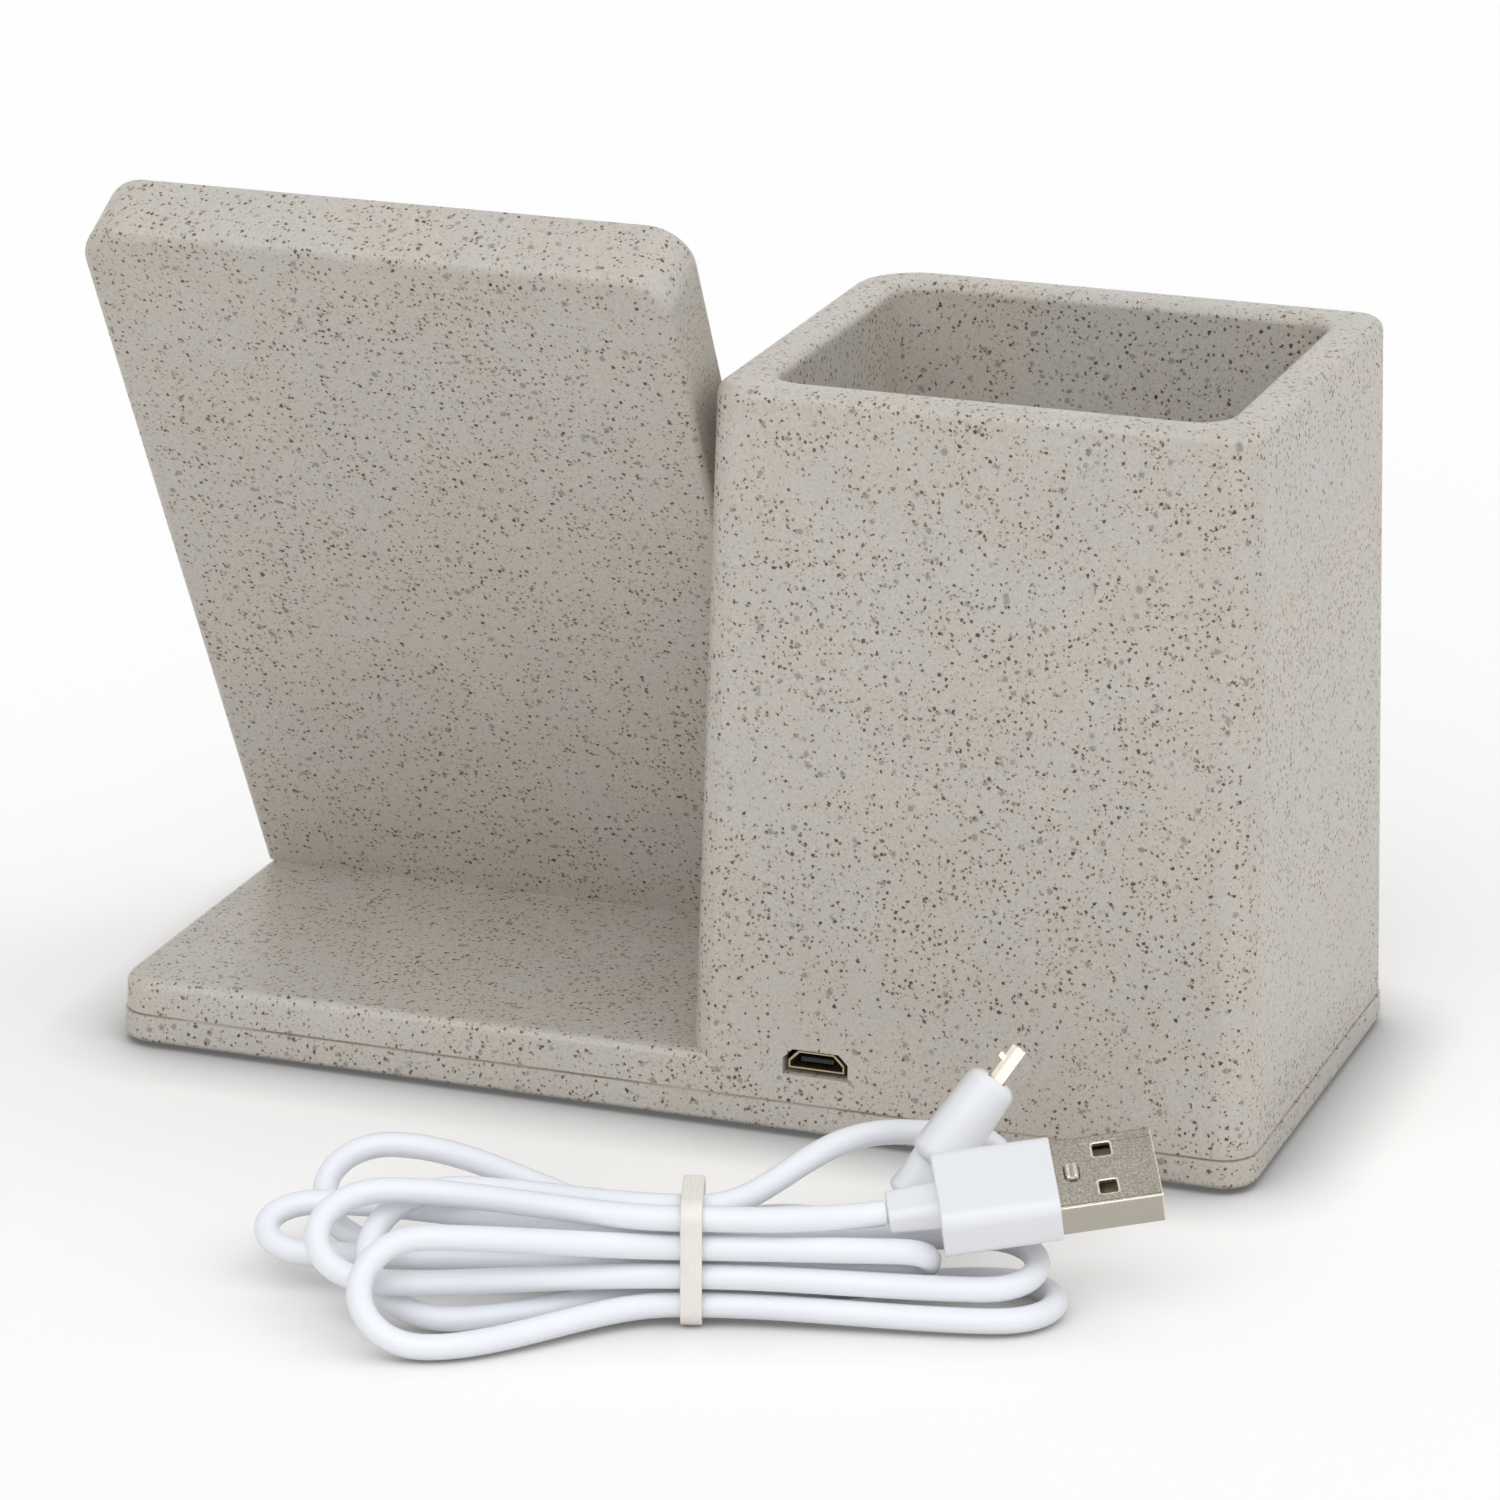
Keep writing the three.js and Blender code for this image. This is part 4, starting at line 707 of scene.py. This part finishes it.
# Line round the bump: half its width, half its length and its height over the shell, ring by ring
BUMP_LINE = ((1.66, 1.02, -0.05), (1.62, 0.98, 0.03), (1.4, 0.8, 0.03), (1.3, 0.7, -0.05))
# Rim of the mouth: how far it lies inside the shell's outline and beyond its end, ring by ring
MOUTH_RIM = ((0.02, -0.16), (-0.035, -0.1), (-0.03, 0.0), (0.16, 0.03),
             (0.36, 0.0), (0.36, -0.3), (0.2, -0.3))
MOUTH_CORNER = 0.5
MOUTH_CORNER_LOSS = 0.2
RIM_STEPS = 5
BUMP_STEPS = 8

# The two ridges of the bump
RIDGE_APART = 0.42
RIDGE_HALF_WIDTH = 1.4
RIDGE_HALF_LENGTH = 0.38
RIDGE_HEIGHT = 0.55
RIDGE_ROOT = 0.05
RIDGE_CREST = 0.02
RIDGE_STEPS = 5

# Beads along the shell: their place across and above the plug's middle, their radius, and where they run
# Along the fold: a painted highlight and a painted shade; the seam is a dark line
FOLD_HIGHLIGHT = (-5.84, 2.13, 0.13)
FOLD_SHADE = (-5.5, 2.2, 0.07)
SEAM = (4.3, 2.22, 0.05)
SEAM_START = USB_HOLE_PLACE + 1.3
BEAD_END = USB_MOUTH - 0.05
BEAD_STEPS = 10


def add_hole_rim(name, side):
    """Turned-in rim of one of the holes in the metal shell, in a painted highlight."""
    rings = []
    for half, radius, height in HOLE_RIM:
        outline = rounded_outline(half, half, radius, RIM_STEPS)
        rings.append([(side + x, USB_HALF_HEIGHT + height, USB_HOLE_PLACE + z) for x, z in outline])
    return add_skin(name, rings, USB_FRAME, NICKEL_HIGHLIGHT)


def add_ridge(name, along):
    """Half of the pressed bump behind the holes: a rounded ridge across the plug, in a painted highlight."""
    rings = []
    for step in range(RIDGE_STEPS + 1):
        angle = step / RIDGE_STEPS * math.pi / 2
        inset = RIDGE_HALF_LENGTH * (1 - math.cos(angle))
        half_length = max(RIDGE_HALF_LENGTH - inset, RIDGE_CREST)
        outline = rounded_outline(RIDGE_HALF_WIDTH - inset, half_length, RIDGE_HALF_LENGTH)
        height = USB_HALF_HEIGHT - RIDGE_ROOT + (RIDGE_HEIGHT + RIDGE_ROOT) * math.sin(angle)
        rings.append([(x, height, USB_DIMPLE_PLACE + along + z) for x, z in outline])
    return add_skin(name, rings, USB_FRAME, NICKEL_HIGHLIGHT, closed=False)


def add_bump_outline():
    """Pressed-in line round the bump, in painted shade."""
    rings = []
    for half_x, half_z, height in BUMP_LINE:
        outline = rounded_outline(half_x, half_z, half_z, BUMP_STEPS)
        rings.append([(x, USB_HALF_HEIGHT + height, USB_DIMPLE_PLACE + z) for x, z in outline])
    return add_skin("usb_a_bump_outline", rings, USB_FRAME, NICKEL_SHADE_AND_SEAM)


def add_edge_bead(name, x, y, radius, start, material):
    """Thin rounded bead along the shell, where its sheet is folded: there a painted highlight or a painted
    shade. It also draws the seam.
    """
    turns = [step / BEAD_STEPS * math.tau for step in range(BEAD_STEPS)]
    rings = [[(x + radius * math.cos(turn), y + radius * math.sin(turn), z) for turn in turns]
             for z in (start, BEAD_END)]
    return add_skin(name, rings, USB_FRAME, material, closed=False)


def add_mouth_rim():
    """Rounded edge of the shell's open end, in a painted highlight."""
    rings = []
    for inset, z in MOUTH_RIM:
        radius = MOUTH_CORNER - min(inset, MOUTH_CORNER_LOSS)
        outline = rounded_outline(USB_HALF_WIDTH - inset, USB_HALF_HEIGHT - inset, radius, RIM_STEPS)
        rings.append([(x, y, USB_MOUTH + z) for x, y in outline])
    return add_skin("usb_a_mouth_rim", rings, USB_FRAME, NICKEL_HIGHLIGHT)


usb_details = [
    add_hole_rim("usb_a_hole_rim_far", USB_HOLE_SIDE),
    add_hole_rim("usb_a_hole_rim_near", -USB_HOLE_SIDE),
    add_bump_outline(),
    add_ridge("usb_a_bump_first", -RIDGE_APART),
    add_ridge("usb_a_bump_second", RIDGE_APART),
    add_edge_bead("usb_a_fold_painted_highlight", *FOLD_HIGHLIGHT, USB_BODY_TOP, NICKEL_HIGHLIGHT),
    add_edge_bead("usb_a_fold_painted_shade", *FOLD_SHADE, USB_BODY_TOP, NICKEL_SHADE_AND_SEAM),
    add_edge_bead("usb_a_seam", *SEAM, SEAM_START, NICKEL_SHADE_AND_SEAM),
    add_mouth_rim(),
]
PLUG_NODES = ("usb_a_plug_body", "usb_a_plug_shell", "usb_a_plug_tongue",
              "micro_usb_plug_body", "micro_usb_plug_shell")
cable_pieces = [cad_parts[name] for name in PLUG_NODES]
cable_pieces += [add_band(), *usb_details]


# Floor, background and light. The floor's colour takes back the light's tint, so that it looks white
FLOOR_TONE = 0.92
FLOOR_GLOW = 0.12
FLOOR_ROUGHNESS = 0.9
FLOOR_HALF_SIZE = 4.0
FLOOR_DROP = 0.0001
# Painted contact shadow on the floor: how far it looks for what stands near, its samples, the span from front
# to back over which it grows, and its strength round the cable and at the caddy's foot
CONTACT_SHADE_REACH = 0.014
CONTACT_SHADE_SAMPLES = 8
CONTACT_SHADE_FADE = (-0.056, -0.04)
CONTACT_SHADE_DEPTH = (0.4, 1.35)
SKY = 0.37
LIGHT_TINT = (0.95, 0.975, 1.0)
BLACK = (0.0, 0.0, 0.0, 1.0)
WHITE = (1.0, 1.0, 1.0, 1.0)

# Lamps: where the light comes from, how light it makes a white surface that faces it, its spread in degrees,
# and whether it shows in gloss
LAMPS = (
    ("front", (0.0, -0.7, 0.7), 0.39, 60, True),
    ("low", (0.0, -0.98, 0.15), 0.055, 60, False),
    ("side", (0.7, 0.0, 0.7), 0.28, 60, False),
    ("back", (0.0, 0.8, 0.6), 0.13, 90, False),
    ("top", (0.0, 0.0, 1.0), 0.06, 110, False),
)


def floor_material():
    """White, with a painted shadow that darkens it close to what stands on it, less so round the cable than
    at the caddy's foot.
    """
    n = Nodes("floor_white_contact_shade")
    # Painted shadow: the floor's colour darkens towards black near what stands on it
    near = n.add("ShaderNodeAmbientOcclusion", {"Distance": CONTACT_SHADE_REACH}, samples=CONTACT_SHADE_SAMPLES)
    place = n.add("ShaderNodeTexCoord", {}).outputs["Object"]
    parts = n.add("ShaderNodeSeparateXYZ", {"Vector": place})
    depth = n.ramp(parts.outputs["Y"], *CONTACT_SHADE_FADE, *CONTACT_SHADE_DEPTH)
    shade = n.math("POWER", near.outputs["AO"], depth)
    white = (*(FLOOR_TONE * LIGHT_TINT[0] / channel for channel in LIGHT_TINT), 1.0)
    n.link(n.mix(shade, BLACK, white), n.shader.inputs["Base Color"])
    n.shader.inputs["Roughness"].default_value = FLOOR_ROUGHNESS
    n.shader.inputs["Specular IOR Level"].default_value = 0.0
    n.shader.inputs["Emission Color"].default_value = WHITE
    rays = n.add("ShaderNodeLightPath", {})
    seen = n.math("MAXIMUM", rays.outputs["Is Camera Ray"], rays.outputs["Is Glossy Ray"])
    n.link(n.math("MULTIPLY", seen, FLOOR_GLOW), n.shader.inputs["Emission Strength"])
    return n.material


def add_floor():
    bm = bmesh.new()
    bmesh.ops.create_grid(bm, x_segments=1, y_segments=1, size=FLOOR_HALF_SIZE)
    data = bpy.data.meshes.new("floor")
    bm.to_mesh(data)
    bm.free()
    data.materials.append(floor_material())
    floor = add_object("floor", data)
    floor.location = (0.0, 0.0, -FLOOR_DROP)


def add_world():
    """White where it is seen, mirrored or looked through, and a dimmer sky as light."""
    world = bpy.data.worlds.new("studio")
    bpy.context.scene.world = world
    world.use_nodes = True
    tree = world.node_tree
    tree.nodes.clear()
    rays = tree.nodes.new("ShaderNodeLightPath")

    def either(first, second):
        node = tree.nodes.new("ShaderNodeMath")
        node.operation = "MAXIMUM"
        tree.links.new(first, node.inputs[0])
        tree.links.new(second, node.inputs[1])
        return node.outputs[0]

    def background(tone, strength):
        node = tree.nodes.new("ShaderNodeBackground")
        node.inputs["Color"].default_value = tone
        node.inputs["Strength"].default_value = strength
        return node.outputs[0]

    through = either(rays.outputs["Is Glossy Ray"], rays.outputs["Is Transmission Ray"])
    mix = tree.nodes.new("ShaderNodeMixShader")
    out = tree.nodes.new("ShaderNodeOutputWorld")
    tree.links.new(either(rays.outputs["Is Camera Ray"], through), mix.inputs["Fac"])
    tree.links.new(background((*LIGHT_TINT, 1.0), SKY), mix.inputs[1])
    tree.links.new(background(WHITE, 1.0), mix.inputs[2])
    tree.links.new(mix.outputs[0], out.inputs["Surface"])


def add_lamp(name, towards, level, spread, glossy):
    data = bpy.data.lights.new(name, "SUN")
    data.energy = level * math.pi
    data.color = LIGHT_TINT
    data.angle = math.radians(spread)
    lamp = add_object(name, data)
    lamp.visible_glossy = glossy
    lamp.matrix_world = (-Vector(towards)).to_track_quat("-Z", "Y").to_matrix().to_4x4()


add_floor()
add_world()
for values in LAMPS:
    add_lamp(*values)
bpy.context.scene.view_settings.view_transform = "Standard"

bpy.context.view_layer.update()
